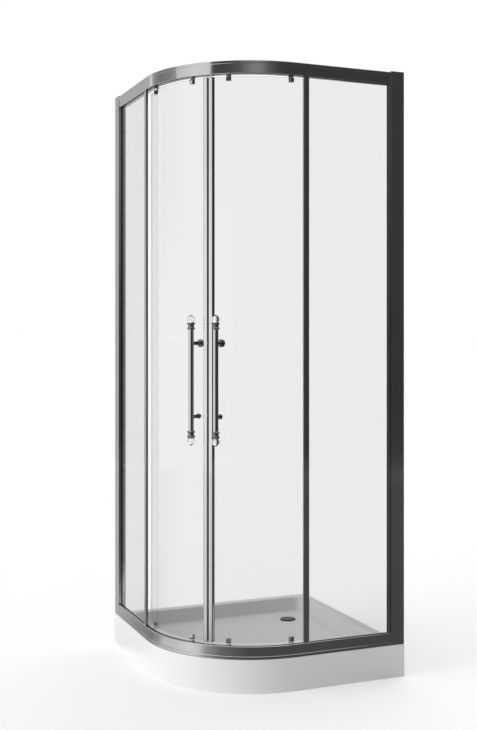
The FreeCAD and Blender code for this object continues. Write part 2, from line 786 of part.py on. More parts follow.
def make_post():
    section = [
        corner("post_front", "chamber_end"), corner("channel_face + post_wall", "chamber_end"),
        corner("channel_face + post_wall", "post_outer"), corner("post_end", "post_outer"),
        corner("post_end", "post_inner"), corner("channel_face + post_wall", "post_inner"),
        corner("channel_face + post_wall", "post_nose"), corner("post_front", "post_nose"),
        corner("post_front", "groove_end"), corner("pocket_end", "groove_end"),
        corner("pocket_end", "groove_start"), corner("post_front", "groove_start"),
    ]
    body = upright("frame_post_right", section, "tray_height", "top_rail_top")
    height = "top_rail_top - tray_height"
    chamber = panel(box("pocket_end + post_wall", "post_outer + post_wall",
                        "post_end - post_wall", "post_inner - post_wall"))
    pocket(body, draw(body, "XY_Plane", [chamber]), height, True)
    nose = panel(box("post_front - 1", "0", "channel_face", "post_nose + 1"))
    pocket(body, draw(body, "XY_Plane", [nose]), "rail_height", True)
    pocket(body, draw(body, "XY_Plane", [nose], lift=height), "rail_height")
    spots = [("post_middle", f"{level} - tray_height", "screw_width / 2 + screw_fit")
             for level in screw_levels()]
    inner = draw(body, "XZ_Plane", circles=spots, lift="0 - rail_face - channel_depth")
    pocket(body, inner, "channel_wall + post_fit + post_wall + 1", True)
    ends = [("rail_face + block_depth", f"{level} - tray_height", "screw_width / 2 + screw_fit")
            for level in block_levels()]
    face = draw(body, "YZ_Plane", circles=ends, lift="channel_face - 1")
    pocket(body, face, "pocket_end + post_wall + 2 - channel_face", True)
    pair(body, "frame_post")

    screws = []
    for number, level in enumerate(screw_levels(), start=1):
        screw = new_body(f"post_screw_{number}", "post_middle", "rail_face + channel_depth", level)
        revolve(screw, draw(screw, "YZ_Plane", [[
            corner("0 - screw_length", "0"), corner("0 - screw_length", "screw_width / 2"),
            corner("0", "screw_width / 2"), corner("0", "screw_head / 2"),
            corner("screw_head_height - screw_edge", "screw_head / 2"),
            corner("screw_head_height", "screw_head / 2 - screw_edge"),
            corner("screw_head_height", "0"),
        ]]), "H_Axis")
        screws += [screw, mirrored(screw, f"post_screw_left_{number}")]
    group("post_screws", screws)


def block_levels():
    """Levels of the screws that hold the two rails' ends to a post."""
    return ["bottom_block", "top_block"]


def make_rail_ends():
    """A block inside each rail's end, drawn to the post by a screw from inside it."""
    spans = [
        ("tray_height + rail_wall + block_fit", "groove_floor - rail_wall - block_fit"),
        ("groove_roof + rail_wall + block_fit", "top_rail_top - rail_wall - block_fit"),
    ]
    blocks, screws = [], []
    for number, ((low, high), level) in enumerate(zip(spans, block_levels()), start=1):
        corners = box("channel_face - block_length", "groove_start", "channel_face", "top_ledge_depth - 2")
        block = upright(f"rail_block_{number}", corners, low, high)
        bore = [("rail_face + block_depth", f"{level} - ({low})", "screw_width / 2 + thread_fit")]
        pocket(block, draw(block, "YZ_Plane", circles=bore, lift="channel_face"), "block_length")
        blocks += [block, mirrored(block, f"rail_block_left_{number}")]
        seat = "pocket_end + post_wall"
        screw = new_body(f"rail_screw_{number}", seat, "rail_face + block_depth", level)
        revolve(screw, draw(screw, "XZ_Plane", [[
            corner("0 - block_length / 2", "0"), corner("0 - block_length / 2", "screw_width / 2"),
            corner("0", "screw_width / 2"), corner("0", "screw_head / 2"),
            corner("screw_head_height - screw_edge", "screw_head / 2"),
            corner("screw_head_height", "screw_head / 2 - screw_edge"),
            corner("screw_head_height", "0"),
        ]]), "H_Axis")
        screws += [screw, mirrored(screw, f"rail_screw_left_{number}")]
    group("rail_end_blocks", blocks)
    group("rail_end_screws", screws)


# ---- fixed panel ----

def make_fixed_panel():
    pane = box("glass_near", "glass_face", "glass_far", "glass_back")
    pair(upright("fixed_glass_right", pane, "glass_bottom", "glass_top"), "fixed_glass")

    bevel, lip_front = "stile_bevel", "glass_face - running_gap"
    lip_back = "glass_back + running_gap"
    stile = [
        corner(f"stile_near + {bevel}", "stile_front"), corner(f"stile_far - {bevel}", "stile_front"),
        corner("stile_far", f"stile_front + {bevel} / 2"), corner("stile_far", lip_front),
        corner("stile_near + stile_web", lip_front), corner("stile_near + stile_web", lip_back),
        corner("stile_far", lip_back), corner("stile_far", "stile_back"), corner("stile_near", "stile_back"),
        corner("stile_near", f"stile_front + {bevel} / 2"),
    ]
    pair(upright("fixed_stile_right", stile, "bottom_rail_top", "top_rail_under"), "fixed_stile")

    # One moulded seal goes round the glass in the bottom groove, the post and the top groove.
    fit, stand = "seal_fit", "seal_stand"
    body = new_body("glazing_seal_right", y="rail_face")
    start, end = "stile_far + running_gap", f"pocket_end - {fit}"
    low, high = f"groove_floor + {fit}", f"groove_roof - {fit}"
    edge = f"post_front - {stand}"
    ring = [
        corner(start, low), corner(end, low), corner(end, high), corner(start, high),
        corner(start, f"top_rail_under - {stand}"), corner(edge, f"top_rail_under - {stand}"),
        corner(edge, f"bottom_rail_top + {stand}"), corner(start, f"bottom_rail_top + {stand}"),
    ]
    near, far = f"groove_start + {fit}", f"groove_end - {fit}"
    pad(body, draw(body, "XZ_Plane", [ring], lift=f"0 - ({far})"), f"groove_width - 2 * {fit}")
    slot = box(f"{start} - 1", "glass_bottom", "glass_far", "glass_top")
    slot_face = draw(body, "XZ_Plane", [slot], lift=f"0 - glass_back - {fit} / 2")
    pocket(body, slot_face, f"fixed_glass_skin + {fit}", True)
    pair(body, "glazing_seal")


# ---- sliding door, made for the right-hand side ----

def make_door_glass():
    body = radial_body("door_glass_blank", "45", "door_bottom")
    end = "closing_turn"
    pane = [
        corner("door_outer", "door_tail"), corner("door_outer", "0"),
        arc(f"door_outer * cos({end})", f"0 - door_outer * sin({end})", "door_outer", "right"),
        corner(f"door_inner * cos({end})", f"0 - door_inner * sin({end})"),
        arc("door_inner", "0", "door_inner", "left"), corner("door_inner", "door_tail"),
    ]
    pad(body, draw(body, "XY_Plane", [pane]), "door_top - door_bottom")
    across = ("glass_hole / 2", "door_inner - glass_hole", "door_outer + glass_hole")
    drills = [
        drill(f"door_drill_{number}", angle, level, *across)
        for number, (angle, level) in enumerate(clamp_spots() + handle_spots(), start=1)
    ]
    pair(cut("door_glass_right", body, drills), "door_glass")


def clamp_spots():
    """Angle from the closing line and level of each clamp on the door glass."""
    return [(angle, level) for angle in ("lead_angle", "45") for level in ("top_clamp", "bottom_clamp")]


def handle_spots():
    return [("handle_angle", "upper_fixing"), ("handle_angle", "lower_fixing")]


def on_arc(radius, offset):
    """Distance out, at this offset from the closing line, of an arc about the rails' centre."""
    return f"sqrt(({radius}) ^ 2 - ({offset}) ^ 2)"


def make_closing_stile():
    start, end, slot = "closing_start", "closing_end", "closing_slot"
    bevel = "closing_bevel"
    low, high = "magnet_middle - magnet_width / 2", "magnet_middle + magnet_width / 2"
    body = radial_body("closing_stile_right", "0", "door_bottom")
    section = [
        corner(f"closing_outer - {bevel}", start), corner("closing_outer", f"{start} + {bevel}"),
        corner("closing_outer", f"{end} - {bevel}"), corner(f"closing_outer - {bevel}", end),
        corner(on_arc("slot_outer", end), end), arc(on_arc("slot_outer", slot), slot, "slot_outer", "right"),
        corner(on_arc("slot_inner", slot), slot), arc(on_arc("slot_inner", end), end, "slot_inner", "left"),
        corner("closing_inner", end), corner("closing_inner", start), corner(low, start),
        corner(low, f"{start} + magnet_tuck"), corner(high, f"{start} + magnet_tuck"), corner(high, start),
    ]
    pad(body, draw(body, "XY_Plane", [section]), "door_top - door_bottom")
    pair(body, "closing_stile")

    magnet = radial_body("magnetic_seal_right", "0", "door_bottom")
    tuck = f"{start} + magnet_tuck - seal_fit"
    strip = box(f"{low} + seal_fit", "closing_gap / 2", f"{high} - seal_fit", tuck)
    pad(magnet, draw(magnet, "XY_Plane", [strip]), "door_top - door_bottom")
    pair(magnet, "magnetic_seal")


def make_tail_seal():
    """A clip on the glass's trailing edge, with a fin that reaches out behind the fixed stile."""
    skin, fit = "tail_seal_skin", "seal_fit"
    mouth, end = "door_tail - tail_seal_grip", f"door_tail + {skin}"
    inner, outer = f"door_inner - {skin}", f"door_outer + {skin}"
    tip = "rail_radius - stile_back - tail_seal_gap"
    body = radial_body("tail_seal_right", "45", "door_bottom")
    section = [
        corner(inner, mouth), corner(f"door_inner - {fit}", mouth),
        corner(f"door_inner - {fit}", f"door_tail + {fit}"),
        corner(f"door_outer + {fit}", f"door_tail + {fit}"),
        corner(f"door_outer + {fit}", mouth), corner(outer, mouth), corner(outer, f"door_tail - {fit}"),
        corner(tip, f"door_tail - {fit}"), corner(tip, end), corner(inner, end),
    ]
    pad(body, draw(body, "XY_Plane", [section]), "door_top - door_bottom")
    pair(body, "tail_seal")


def make_clamps():
    """Blocks on the outer face of the glass, each with its bolt through the glass."""
    blocks = []
    for number, (angle, level) in enumerate(clamp_spots(), start=1):
        block = radial_body(f"clamp_{number}", angle, level)
        half_height, half_width = "clamp_height / 2", "clamp_width / 2"
        face = box(f"0 - {half_width}", f"0 - {half_height}", half_width, half_height)
        pad(block, draw(block, "YZ_Plane", [face], lift="rosette_face"), "clamp_depth")
        bolt = draw(block, "YZ_Plane", circles=[("0", "0", "bolt_width / 2")], lift="plate_inner")
        pad(block, bolt, "rosette_face - plate_inner")
        blocks.append(block)
    group("clamp_blocks_right", blocks)
    finished(mirrored(doc.getObject("clamp_blocks_right"), "clamp_blocks_left"), "clamp_blocks_left")


def pin_end(half_width, inner, middle):
    """An arm from this inner line to a round end about the middle line."""
    return [
        corner(inner, f"0 - {half_width}"), corner(middle, f"0 - {half_width}"),
        arc(f"{middle} + {half_width}", "0", half_width, "left"),
        arc(middle, half_width, half_width, "left"),
        corner(inner, half_width),
    ]


def make_brackets():
    """Plates on the inner face of the glass: the top ones hang on the forks, the bottom ones
    end in a guide that runs over the lower ledge."""
    wide = "bracket_width / 2"
    plate = box("plate_inner", f"0 - {wide}", "plate_outer", wide)
    tops, guides = [], []
    for number, angle in enumerate(("lead_angle", "45"), start=1):
        low = "top_clamp - clamp_height / 2"
        top = radial_body(f"roller_bracket_{number}", angle, low)
        pad(top, draw(top, "XY_Plane", [plate]), f"arm_top - ({low})")
        arm = pin_end("6.5", "plate_inner", "wheel_path")
        hole = [("wheel_path", "0", "axle_width / 2 + bearing_fit")]
        pad(top, draw(top, "XY_Plane", [arm], hole, f"arm_under - ({low})"), "bracket_skin")
        bolt = [("0", "clamp_height / 2", "bolt_width / 2 + thread_fit")]
        pocket(top, draw(top, "YZ_Plane", circles=bolt, lift="plate_outer + 1"), "bracket_skin + 2")
        tops.append(top)

        foot = "groove_floor + running_gap"
        guide = radial_body(f"guide_bracket_{number}", angle, foot)
        pad(guide, draw(guide, "XY_Plane", circles=[("wheel_path", "0", "guide_width / 2")]),
            f"guide_arm_top - ({foot})")
        arm = pin_end("guide_width / 2", "plate_inner", "wheel_path")
        pad(guide, draw(guide, "XY_Plane", [arm], lift=f"guide_arm_top - guide_arm - ({foot})"), "guide_arm")
        rise = f"guide_arm_top - guide_arm - ({foot}) - 2"
        high = "door_bottom + clamp_height"
        pad(guide, draw(guide, "XY_Plane", [plate], lift=rise), f"{high} - ({foot}) - ({rise})")
        bolt = [("0", f"bottom_clamp - ({foot})", "bolt_width / 2 + thread_fit")]
        pocket(guide, draw(guide, "YZ_Plane", circles=bolt, lift="plate_outer + 1"), "bracket_skin + 2")
        guides.append(guide)
    for label, pieces in (("roller_brackets", tops), ("guide_brackets", guides)):
        right = group(f"{label}_right", pieces)
        finished(mirrored(right, f"{label}_left"), f"{label}_left")


def make_rollers():
    """Forks that swivel on an upright pin, each with a wheel on the top ledge."""
    for name, angle in (("front", "lead_angle"), ("rear", "45")):
        fork = radial_body(f"{name}_fork_right", angle)
        inner, outer = "wheel_path - fork_half", "wheel_path + fork_half"
        cheek = "axle_level - axle_width"
        yoke = [
            corner(inner, cheek), corner(f"{inner} + fork_skin", cheek),
            corner(f"{inner} + fork_skin", "fork_under"), corner(f"{outer} - fork_skin", "fork_under"),
            corner(f"{outer} - fork_skin", cheek), corner(outer, cheek), corner(outer, "fork_top"),
            corner(inner, "fork_top"),
        ]
        pad(fork, draw(fork, "XZ_Plane", [yoke]), "fork_length", midplane=True)
        axle = draw(fork, "YZ_Plane", circles=[("0", "axle_level", "axle_width / 2")], lift=inner)
        pad(fork, axle, "2 * fork_half")
        pin = draw(fork, "XY_Plane", circles=[("wheel_path", "0", "axle_width / 2")], lift="fork_top")
        pad(fork, pin, "head_under - fork_top")
        head = draw(fork, "XY_Plane", circles=[("wheel_path", "0", "pin_head / 2")], lift="head_under")
        pad(fork, head, "fork_skin")
        pair(fork, f"{name}_fork")

        hub = "axle_width / 2 + bearing_fit"
        boss, web = "wheel_radius * hub_share", "wheel_radius * web_share"
        rim, groove = "wheel_radius * rim_share", "wheel_radius * (rim_share - 0.05)"
        face, recess = "wheel_width / 2", "wheel_width / 2 * web_recess"
        wheel = radial_turned(f"{name}_wheel_right", angle, "axle_level", [
            corner(f"wheel_path - {face}", hub), corner(f"wheel_path + {face}", hub),
            corner(f"wheel_path + {face}", boss), corner(f"wheel_path + {recess}", web),
            corner(f"wheel_path + {recess}", groove), corner(f"wheel_path + {face}", rim),
            corner(f"wheel_path + {face}", "wheel_radius - wheel_edge"),
            corner(f"wheel_path + {face} - wheel_edge", "wheel_radius"),
            corner(f"wheel_path - {face} + wheel_edge", "wheel_radius"),
            corner(f"wheel_path - {face}", "wheel_radius - wheel_edge"),
            corner(f"wheel_path - {face}", rim), corner(f"wheel_path - {recess}", groove),
            corner(f"wheel_path - {recess}", web), corner(f"wheel_path - {face}", boss),
        ])
        pair(wheel, f"{name}_wheel")


# ---- handle ----

def on_bar(name, level):
    """A body that stands on the bar's upright axis."""
    angle = "(225 + handle_angle)"
    return new_body(name, f"centre + bar_line * cos({angle})", f"centre + bar_line * sin({angle})",
                    level, f"225 + handle_angle")


def make_handle():
    bar = on_bar("handle_bar_right", "handle_height - bar_length / 2 - collar_socket")
    rings = [("0", "0", "bar_radius"), ("0", "0", "bar_bore")]
    pad(bar, draw(bar, "XY_Plane", circles=rings), "bar_length + 2 * collar_socket")
    pair(bar, "handle_bar")

    # Spool-shaped collar: height 0 is the mouth over the bar, two rings and a waist between them.
    collars, crystals = [], []
    ring, tall = "collar_ring", "collar_height"
    for number, sign in ((1, 1), (2, -1)):
        def rise(height):
            return f"{sign} * ({height})"

        mouth = f"handle_height + {sign} * bar_length / 2"
        side = "left" if sign > 0 else "right"
        other = "right" if sign > 0 else "left"
        collar = on_bar(f"handle_collar_{number}", mouth)
        socket, bead = "bar_radius + thread_fit", f"{ring} - bead_inset"
        low_waist = "collar_foot + bead_height + bead_step"
        high_bead = f"{tall} - collar_foot - bead_height - bead_step"
        high_waist = f"{high_bead} - bead_step"
        revolve(collar, draw(collar, "XZ_Plane", [[
            corner(socket, rise("0")), corner("bar_radius + collar_foot", rise("0")),
            corner(bead, rise("collar_foot")),
            arc(bead, rise("collar_foot + bead_height"), "bead_radius", side),
            corner("bar_radius + bead_inset", rise(low_waist)),
            arc("bar_radius + bead_inset", rise(high_waist), f"({high_waist} - ({low_waist}))", other),
            corner(bead, rise(high_bead)),
            arc(bead, rise(f"{high_bead} + bead_height"), "bead_radius", side),
            corner("crystal_radius - crystal_seat", rise(f"{tall} - bead_step")),
            corner("crystal_radius - crystal_seat", rise(tall)),
            corner("0", rise(tall)), corner("0", rise("collar_socket + running_gap")),
            corner(socket, rise("collar_socket + running_gap")),
        ]]), "V_Axis")
        collars.append(collar)

        crystal = on_bar(f"handle_crystal_{number}", f"{mouth} + {sign} * {tall}")
        wide, top = "crystal_radius", "crystal_height"
        revolve(crystal, draw(crystal, "XZ_Plane", [[
            corner("0", "0"), corner(f"{wide} - 4", rise("0")),
            arc(wide, rise(f"{top} * 0.4"), f"{top} * 0.5", side),
            arc(f"{wide} * 0.3", rise(f"{top} * 0.93"), wide, side), corner("0", rise(top)),
        ]]), "V_Axis")
        crystals.append(crystal)
    for label, pieces in (("handle_collars", collars), ("handle_crystals", crystals)):
        right = group(f"{label}_right", pieces)
        finished(mirrored(right, f"{label}_left"), f"{label}_left")

    standoffs = []
    ends = ("knob_face - knob_neck - standoff_bite", "knob_face - cap_nut_depth + nut_end_skin")
    for number, ((angle, level), end) in enumerate(zip(handle_spots(), ends), start=1):
        neck = radial_turned(f"handle_standoff_{number}", angle, level, [
            corner(end, "0"), corner("bar_line - bar_radius / 2", "0"),
            corner("bar_line - bar_radius / 2", "neck_radius"),
            corner("rosette_face + rosette_skin", "neck_radius"),
            corner("rosette_face + rosette_skin", "rosette_radius - 1"),
            corner("rosette_face + rosette_skin - 1", "rosette_radius"),
            corner("rosette_face", "rosette_radius"), corner("rosette_face", "stud_radius"),
            corner(end, "stud_radius"),
        ])
        saddle = draw(neck, "XY_Plane", circles=[("bar_line", "0", "bar_radius")])
        pocket(neck, saddle, "4 * neck_radius", midplane=True)
        standoffs.append(neck)
    right = group("handle_standoffs_right", standoffs)
    finished(mirrored(right, "handle_standoffs_left"), "handle_standoffs_left")

    shoulder = "knob_face - knob_neck"
    back = f"{shoulder} - knob_depth"
    socket = "stud_radius + thread_fit"
    knob = radial_turned("inside_knob_right", *handle_spots()[0], [
        corner("knob_face", socket), corner("knob_face", "neck_radius"), corner(shoulder, "neck_radius"),
        corner(f"{shoulder} - knob_edge", "knob_radius - knob_edge"),
        corner(f"{shoulder} - knob_shoulder", "knob_radius"),
        corner(f"{shoulder} - knob_shoulder - knob_band", "knob_radius"),
        arc(back, "knob_edge", "1.35 * knob_radius", "left"),
        corner(back, "0"), corner(f"{ends[0]} - stud_end_gap", "0"),
        corner(f"{ends[0]} - stud_end_gap", socket),
    ])
    pair(knob, "inside_knob")

    nut = radial_turned("cap_nut_right", *handle_spots()[1], [
        corner("knob_face", socket), corner("knob_face", "neck_radius"),
        corner("knob_face - cap_nut_depth / 2", "neck_radius"),
        arc("knob_face - cap_nut_depth", "1", "neck_radius * 1.1", "left"),
        corner("knob_face - cap_nut_depth", "0"),
        corner(f"{ends[1]} - stud_end_gap", "0"), corner(f"{ends[1]} - stud_end_gap", socket),
    ])
    pair(nut, "cap_nut")


make_tray()
make_waste()
make_underframe()
make_rails()
make_wall_channel()
make_post()
make_rail_ends()
make_fixed_panel()
make_door_glass()
make_closing_stile()
make_tail_seal()
make_clamps()
make_brackets()
make_rollers()
make_handle()
doc.recompute()

failed = [thing.Label for thing in doc.Objects if set(thing.State) & {"Invalid", "Error"}]
failed += [part.Label for part in parts if part.Shape.isNull() or not part.Shape.isValid()]
if failed:
    raise RuntimeError("failed: " + ", ".join(failed))

os.makedirs("parts", exist_ok=True)
for part in parts:
    part.Shape.exportStep(f"parts/{part.Label}.step")
print(len(parts), "sub-parts")
for alias in ("centre", "wheel_path", "swing", "travel", "door_outer", "axle_level", "waste_x"):
    print(alias, round(value(alias), 4))
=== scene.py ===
import math

import bmesh
import bpy
from mathutils import Matrix, Vector


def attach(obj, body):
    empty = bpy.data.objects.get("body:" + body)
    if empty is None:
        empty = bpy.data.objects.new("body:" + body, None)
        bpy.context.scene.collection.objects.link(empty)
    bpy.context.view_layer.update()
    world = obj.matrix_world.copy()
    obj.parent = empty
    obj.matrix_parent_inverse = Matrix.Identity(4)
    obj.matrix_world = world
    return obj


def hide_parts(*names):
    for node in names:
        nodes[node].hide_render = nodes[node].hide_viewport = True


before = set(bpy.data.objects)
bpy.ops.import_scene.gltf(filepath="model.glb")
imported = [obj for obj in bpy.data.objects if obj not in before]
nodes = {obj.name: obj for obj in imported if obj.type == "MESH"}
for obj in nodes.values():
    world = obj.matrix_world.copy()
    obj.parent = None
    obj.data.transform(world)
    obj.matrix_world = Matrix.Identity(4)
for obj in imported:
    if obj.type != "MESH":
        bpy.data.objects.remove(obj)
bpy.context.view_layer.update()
print("frame loaded:", len(nodes), "nodes")

mm = 0.001
centre = -7 * mm  # the rails' arc centre, the same in X and Y
railFace = -397 * mm  # outer face of the straight rails
railEnd = 350 * mm  # the rails stop here, at the wall channels
mergeGap = 1e-6  # corners closer than this become one
sides = ("right", "left")
swapSides = Matrix(((0, 1, 0, 0), (1, 0, 0, 0), (0, 0, 1, 0), (0, 0, 0, 1)))  # changes X for Y

surface = {
    "rangeEnds": (0.3, 0.7), "rampEnds": (0.35, 0.65),  # the share of the noise that makes a change
    "metalCloud": 6, "metalTint": (0.96, 1.03), "metalRough": (0.75, 1.3), "metalDetail": 5.0,
    "metalRelief": 0.0002,
    "plasticCloud": 9, "plasticRough": (0.85, 1.2), "plasticRelief": 0.0001,
    "clearCloud": 1.6, "clearWash": 0.985, "clearShade": 0.9,  # the shade is the light that gets through
}


def newMaterial(name, **sockets):
    made = bpy.data.materials.new(name)
    made.use_nodes = True
    shader = made.node_tree.nodes["Principled BSDF"]
    for socket, amount in sockets.items():
        shader.inputs[socket.replace("_", " ")].default_value = amount
    return made, made.node_tree, shader


def addNode(tree, kind, **settings):
    made = tree.nodes.new(kind)
    for key, amount in settings.items():
        if key in made.inputs:
            made.inputs[key].default_value = amount
        else:
            setattr(made, key, amount)
    return made


def noiseField(tree, scale, stretch=(1, 1, 1), detail=3.0):
    coords = addNode(tree, "ShaderNodeTexCoord")
    mapping = addNode(tree, "ShaderNodeMapping")
    mapping.inputs["Scale"].default_value = stretch
    noise = addNode(tree, "ShaderNodeTexNoise", Scale=scale, Detail=detail)
    tree.links.new(coords.outputs["Object"], mapping.inputs["Vector"])
    tree.links.new(mapping.outputs["Vector"], noise.inputs["Vector"])
    return noise.outputs["Fac"]


def ranged(tree, field, low, high):
    spread = addNode(tree, "ShaderNodeMapRange")
    spread.inputs["From Min"].default_value = surface["rangeEnds"][0]
    spread.inputs["From Max"].default_value = surface["rangeEnds"][1]
    spread.inputs["To Min"].default_value = low
    spread.inputs["To Max"].default_value = high
    tree.links.new(field, spread.inputs["Value"])
    return spread.outputs["Result"]


def tinted(tree, field, dark, light):
    ramp = addNode(tree, "ShaderNodeValToRGB")
    for stop, place, colour in zip(ramp.color_ramp.elements, surface["rampEnds"], (dark, light)):
        stop.position = place
        stop.color = (*colour, 1)
    tree.links.new(field, ramp.inputs["Fac"])
    return ramp.outputs["Color"]


def bumped(tree, shader, field, strength, distance):
    bump = addNode(tree, "ShaderNodeBump", Strength=strength, Distance=distance)
    tree.links.new(field, bump.inputs["Height"])
    tree.links.new(bump.outputs["Normal"], shader.inputs["Normal"])


def seenRays(tree):  # 1 for what the eye, a mirror or the glass sees, 0 for light on the object
    path = addNode(tree, "ShaderNodeLightPath")
    first = addNode(tree, "ShaderNodeMath", operation="MAXIMUM")
    second = addNode(tree, "ShaderNodeMath", operation="MAXIMUM")
    tree.links.new(path.outputs["Is Camera Ray"], first.inputs[0])
    tree.links.new(path.outputs["Is Glossy Ray"], first.inputs[1])
    tree.links.new(first.outputs[0], second.inputs[0])
    tree.links.new(path.outputs["Is Transmission Ray"], second.inputs[1])
    return second.outputs[0]


def metal(name, grey, rough, stretch=(1, 1, 1), grain=60, grainDepth=0.03):
    made, tree, shader = newMaterial(name, Metallic=1.0)
    cloud = noiseField(tree, surface["metalCloud"])
    lines = noiseField(tree, grain, stretch, surface["metalDetail"])
    dark, light = (tuple(grey * factor for _ in range(3)) for factor in surface["metalTint"])
    smoother, rougher = surface["metalRough"]
    tree.links.new(tinted(tree, cloud, dark, light), shader.inputs["Base Color"])
    tree.links.new(ranged(tree, lines, rough * smoother, rough * rougher), shader.inputs["Roughness"])
    if grainDepth:
        bumped(tree, shader, lines, grainDepth, surface["metalRelief"])
    return made


def plastic(name, colour, rough, coat=0.0, grain=900, grainDepth=0.05, mottle=0.03):
    made, tree, shader = newMaterial(name, Coat_Weight=coat)
    cloud = noiseField(tree, surface["plasticCloud"])
    dark = tuple(c * (1 - mottle) for c in colour)
    smoother, rougher = surface["plasticRough"]
    tree.links.new(tinted(tree, cloud, dark, colour), shader.inputs["Base Color"])
    fine = noiseField(tree, grain)
    tree.links.new(ranged(tree, fine, rough * smoother, rough * rougher), shader.inputs["Roughness"])
    bumped(tree, shader, fine, grainDepth, surface["plasticRelief"])
    return made


def clear(name, tint, rough, ior):
    made, tree, shader = newMaterial(name, Transmission_Weight=1.0, IOR=ior, Roughness=rough)
    cloud = noiseField(tree, surface["clearCloud"])
    dark = tuple(c * surface["clearWash"] for c in tint)
    tree.links.new(tinted(tree, cloud, dark, tint), shader.inputs["Base Color"])
    path = addNode(tree, "ShaderNodeLightPath")
    shade = [c * surface["clearShade"] for c in tint]
    passing = addNode(tree, "ShaderNodeBsdfTransparent", Color=(*shade, 1))
    either = addNode(tree, "ShaderNodeMath", operation="MAXIMUM")
    mix = addNode(tree, "ShaderNodeMixShader")
    tree.links.new(path.outputs["Is Shadow Ray"], either.inputs[0])
    tree.links.new(path.outputs["Is Diffuse Ray"], either.inputs[1])
    tree.links.new(either.outputs[0], mix.inputs["Fac"])
    tree.links.new(shader.outputs[0], mix.inputs[1])
    tree.links.new(passing.outputs[0], mix.inputs[2])
    tree.links.new(mix.outputs[0], tree.nodes["Material Output"].inputs["Surface"])
    return made


frameChrome = metal("frameChrome", grey=0.6, rough=0.11, stretch=(1, 1, 0.02))
brightChrome = metal("brightChrome", grey=0.68, rough=0.09, stretch=(1, 1, 0.02))
railChrome = metal("railChrome", grey=0.6, rough=0.1, grain=30, grainDepth=0.0)
handleChrome = metal("handleChrome", grey=0.56, rough=0.07, grain=90, grainDepth=0.02)
wasteChrome = metal("wasteChrome", grey=0.12, rough=0.22, grain=120, grainDepth=0.04)
darkChrome = metal("darkChrome", grey=0.3, rough=0.08, grain=90, grainDepth=0.02)
plainSteel = metal("plainSteel", grey=0.5, rough=0.28, stretch=(1, 1, 6), grain=300, grainDepth=0.1)
zincSteel = metal("zincSteel", grey=0.45, rough=0.42, grain=70, grainDepth=0.2)
whiteAcrylic = plastic(
    "whiteAcrylic", (0.88, 0.88, 0.87), rough=0.3, coat=0.06, grain=350, grainDepth=0.03, mottle=0.012,
)
blackRubber = plastic("blackRubber", (0.022, 0.022, 0.022), rough=0.6, grain=1600, grainDepth=0.15)
whiteNylon = plastic("whiteNylon", (0.75, 0.75, 0.72), rough=0.42)
trapPlastic = plastic("trapPlastic", (0.62, 0.62, 0.6), rough=0.45)
darkPlastic = plastic("darkPlastic", (0.04, 0.04, 0.042), rough=0.5)
paleSeal = plastic("paleSeal", (0.8, 0.82, 0.82), rough=0.3, coat=0.1, grain=700, grainDepth=0.08)
clearSeal = clear("clearSeal", (0.97, 0.975, 0.975), rough=0.02, ior=1.06)
panelGlass = clear("panelGlass", (0.85, 0.855, 0.855), rough=0.0, ior=1.2)
crystalClear = clear("crystalClear", (0.95, 0.95, 0.95), rough=0.0, ior=1.5)

finishes = {
    "tray_shell": whiteAcrylic, "tray_support_frame": zincSteel, "levelling_feet": darkPlastic,
    "foot_lock_nuts": zincSteel, "waste_flange": wasteChrome, "drain_cover": wasteChrome,
    "waste_gasket": blackRubber, "trap_body": trapPlastic, "trap_dip_tube": trapPlastic,
    "bottom_rail": railChrome, "top_rail": railChrome, "channel_caps": frameChrome,
    "post_screws": plainSteel, "rail_end_blocks": darkPlastic, "rail_end_screws": plainSteel,
    "bump_stops": blackRubber, "wall_channel": frameChrome, "frame_post": frameChrome,
    "fixed_glass": panelGlass, "glazing_seal": blackRubber, "fixed_stile": frameChrome,
    "door_glass": panelGlass, "closing_stile": brightChrome, "magnetic_seal": paleSeal,
    "tail_seal": clearSeal, "roller_brackets": plainSteel, "clamp_blocks": handleChrome,
    "guide_brackets": whiteNylon, "handle_bar": handleChrome, "handle_collars": handleChrome,
    "handle_crystals": crystalClear, "handle_standoffs": handleChrome, "inside_knob": handleChrome,
    "cap_nut": handleChrome, "front_fork": plainSteel, "rear_fork": plainSteel,
    "front_wheel": whiteNylon, "rear_wheel": whiteNylon,
}
for name, piece in nodes.items():
    stem = name.removesuffix("_right").removesuffix("_left")
    piece.data.materials.clear()
    piece.data.materials.append(finishes[stem])
print("materials ready")


def softenEdges(shape, width, sharperThan):
    limit = math.radians(sharperThan)
    chosen = [
        edge for edge in shape.edges
        if len(edge.link_faces) == 2 and edge.calc_face_angle(0) > limit
    ]
    bmesh.ops.bevel(
        shape, geom=chosen, offset=width, offset_type="OFFSET", segments=2,
        profile=0.5, affect="EDGES", clamp_overlap=True, material=-1,
    )


def finishPiece(name, shape, material, body, stands=(), smooth=32):
    bmesh.ops.remove_doubles(shape, verts=shape.verts, dist=mergeGap)
    bmesh.ops.recalc_face_normals(shape, faces=shape.faces)
    mesh = bpy.data.meshes.new(name)
    shape.to_mesh(mesh)
    shape.free()
    mesh.materials.append(material)
    for face in mesh.polygons:
        face.use_smooth = True
    mesh.set_sharp_from_angle(angle=math.radians(smooth))
    piece = bpy.data.objects.new(name, mesh)
    bpy.context.collection.objects.link(piece)
    # broad faces stay flat beside their softened edges
    flatter = piece.modifiers.new("flatFaces", "WEIGHTED_NORMAL")
    flatter.keep_sharp = True
    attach(piece, body)
    if stands:
        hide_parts(*stands)
    return piece


def bodyOf(side, body):
    return body if body == "enclosure" else f"{side}_{body}"


def makeTwins(name, build, material, body, stands=(), smooth=32):
    for side in sides:
        shape = build()
        if side == "left":
            bmesh.ops.transform(shape, matrix=swapSides, verts=shape.verts)
        finishPiece(
            name + side.capitalize(), shape, material, bodyOf(side, body),
            [f"{stand}_{side}" for stand in stands], smooth,
        )


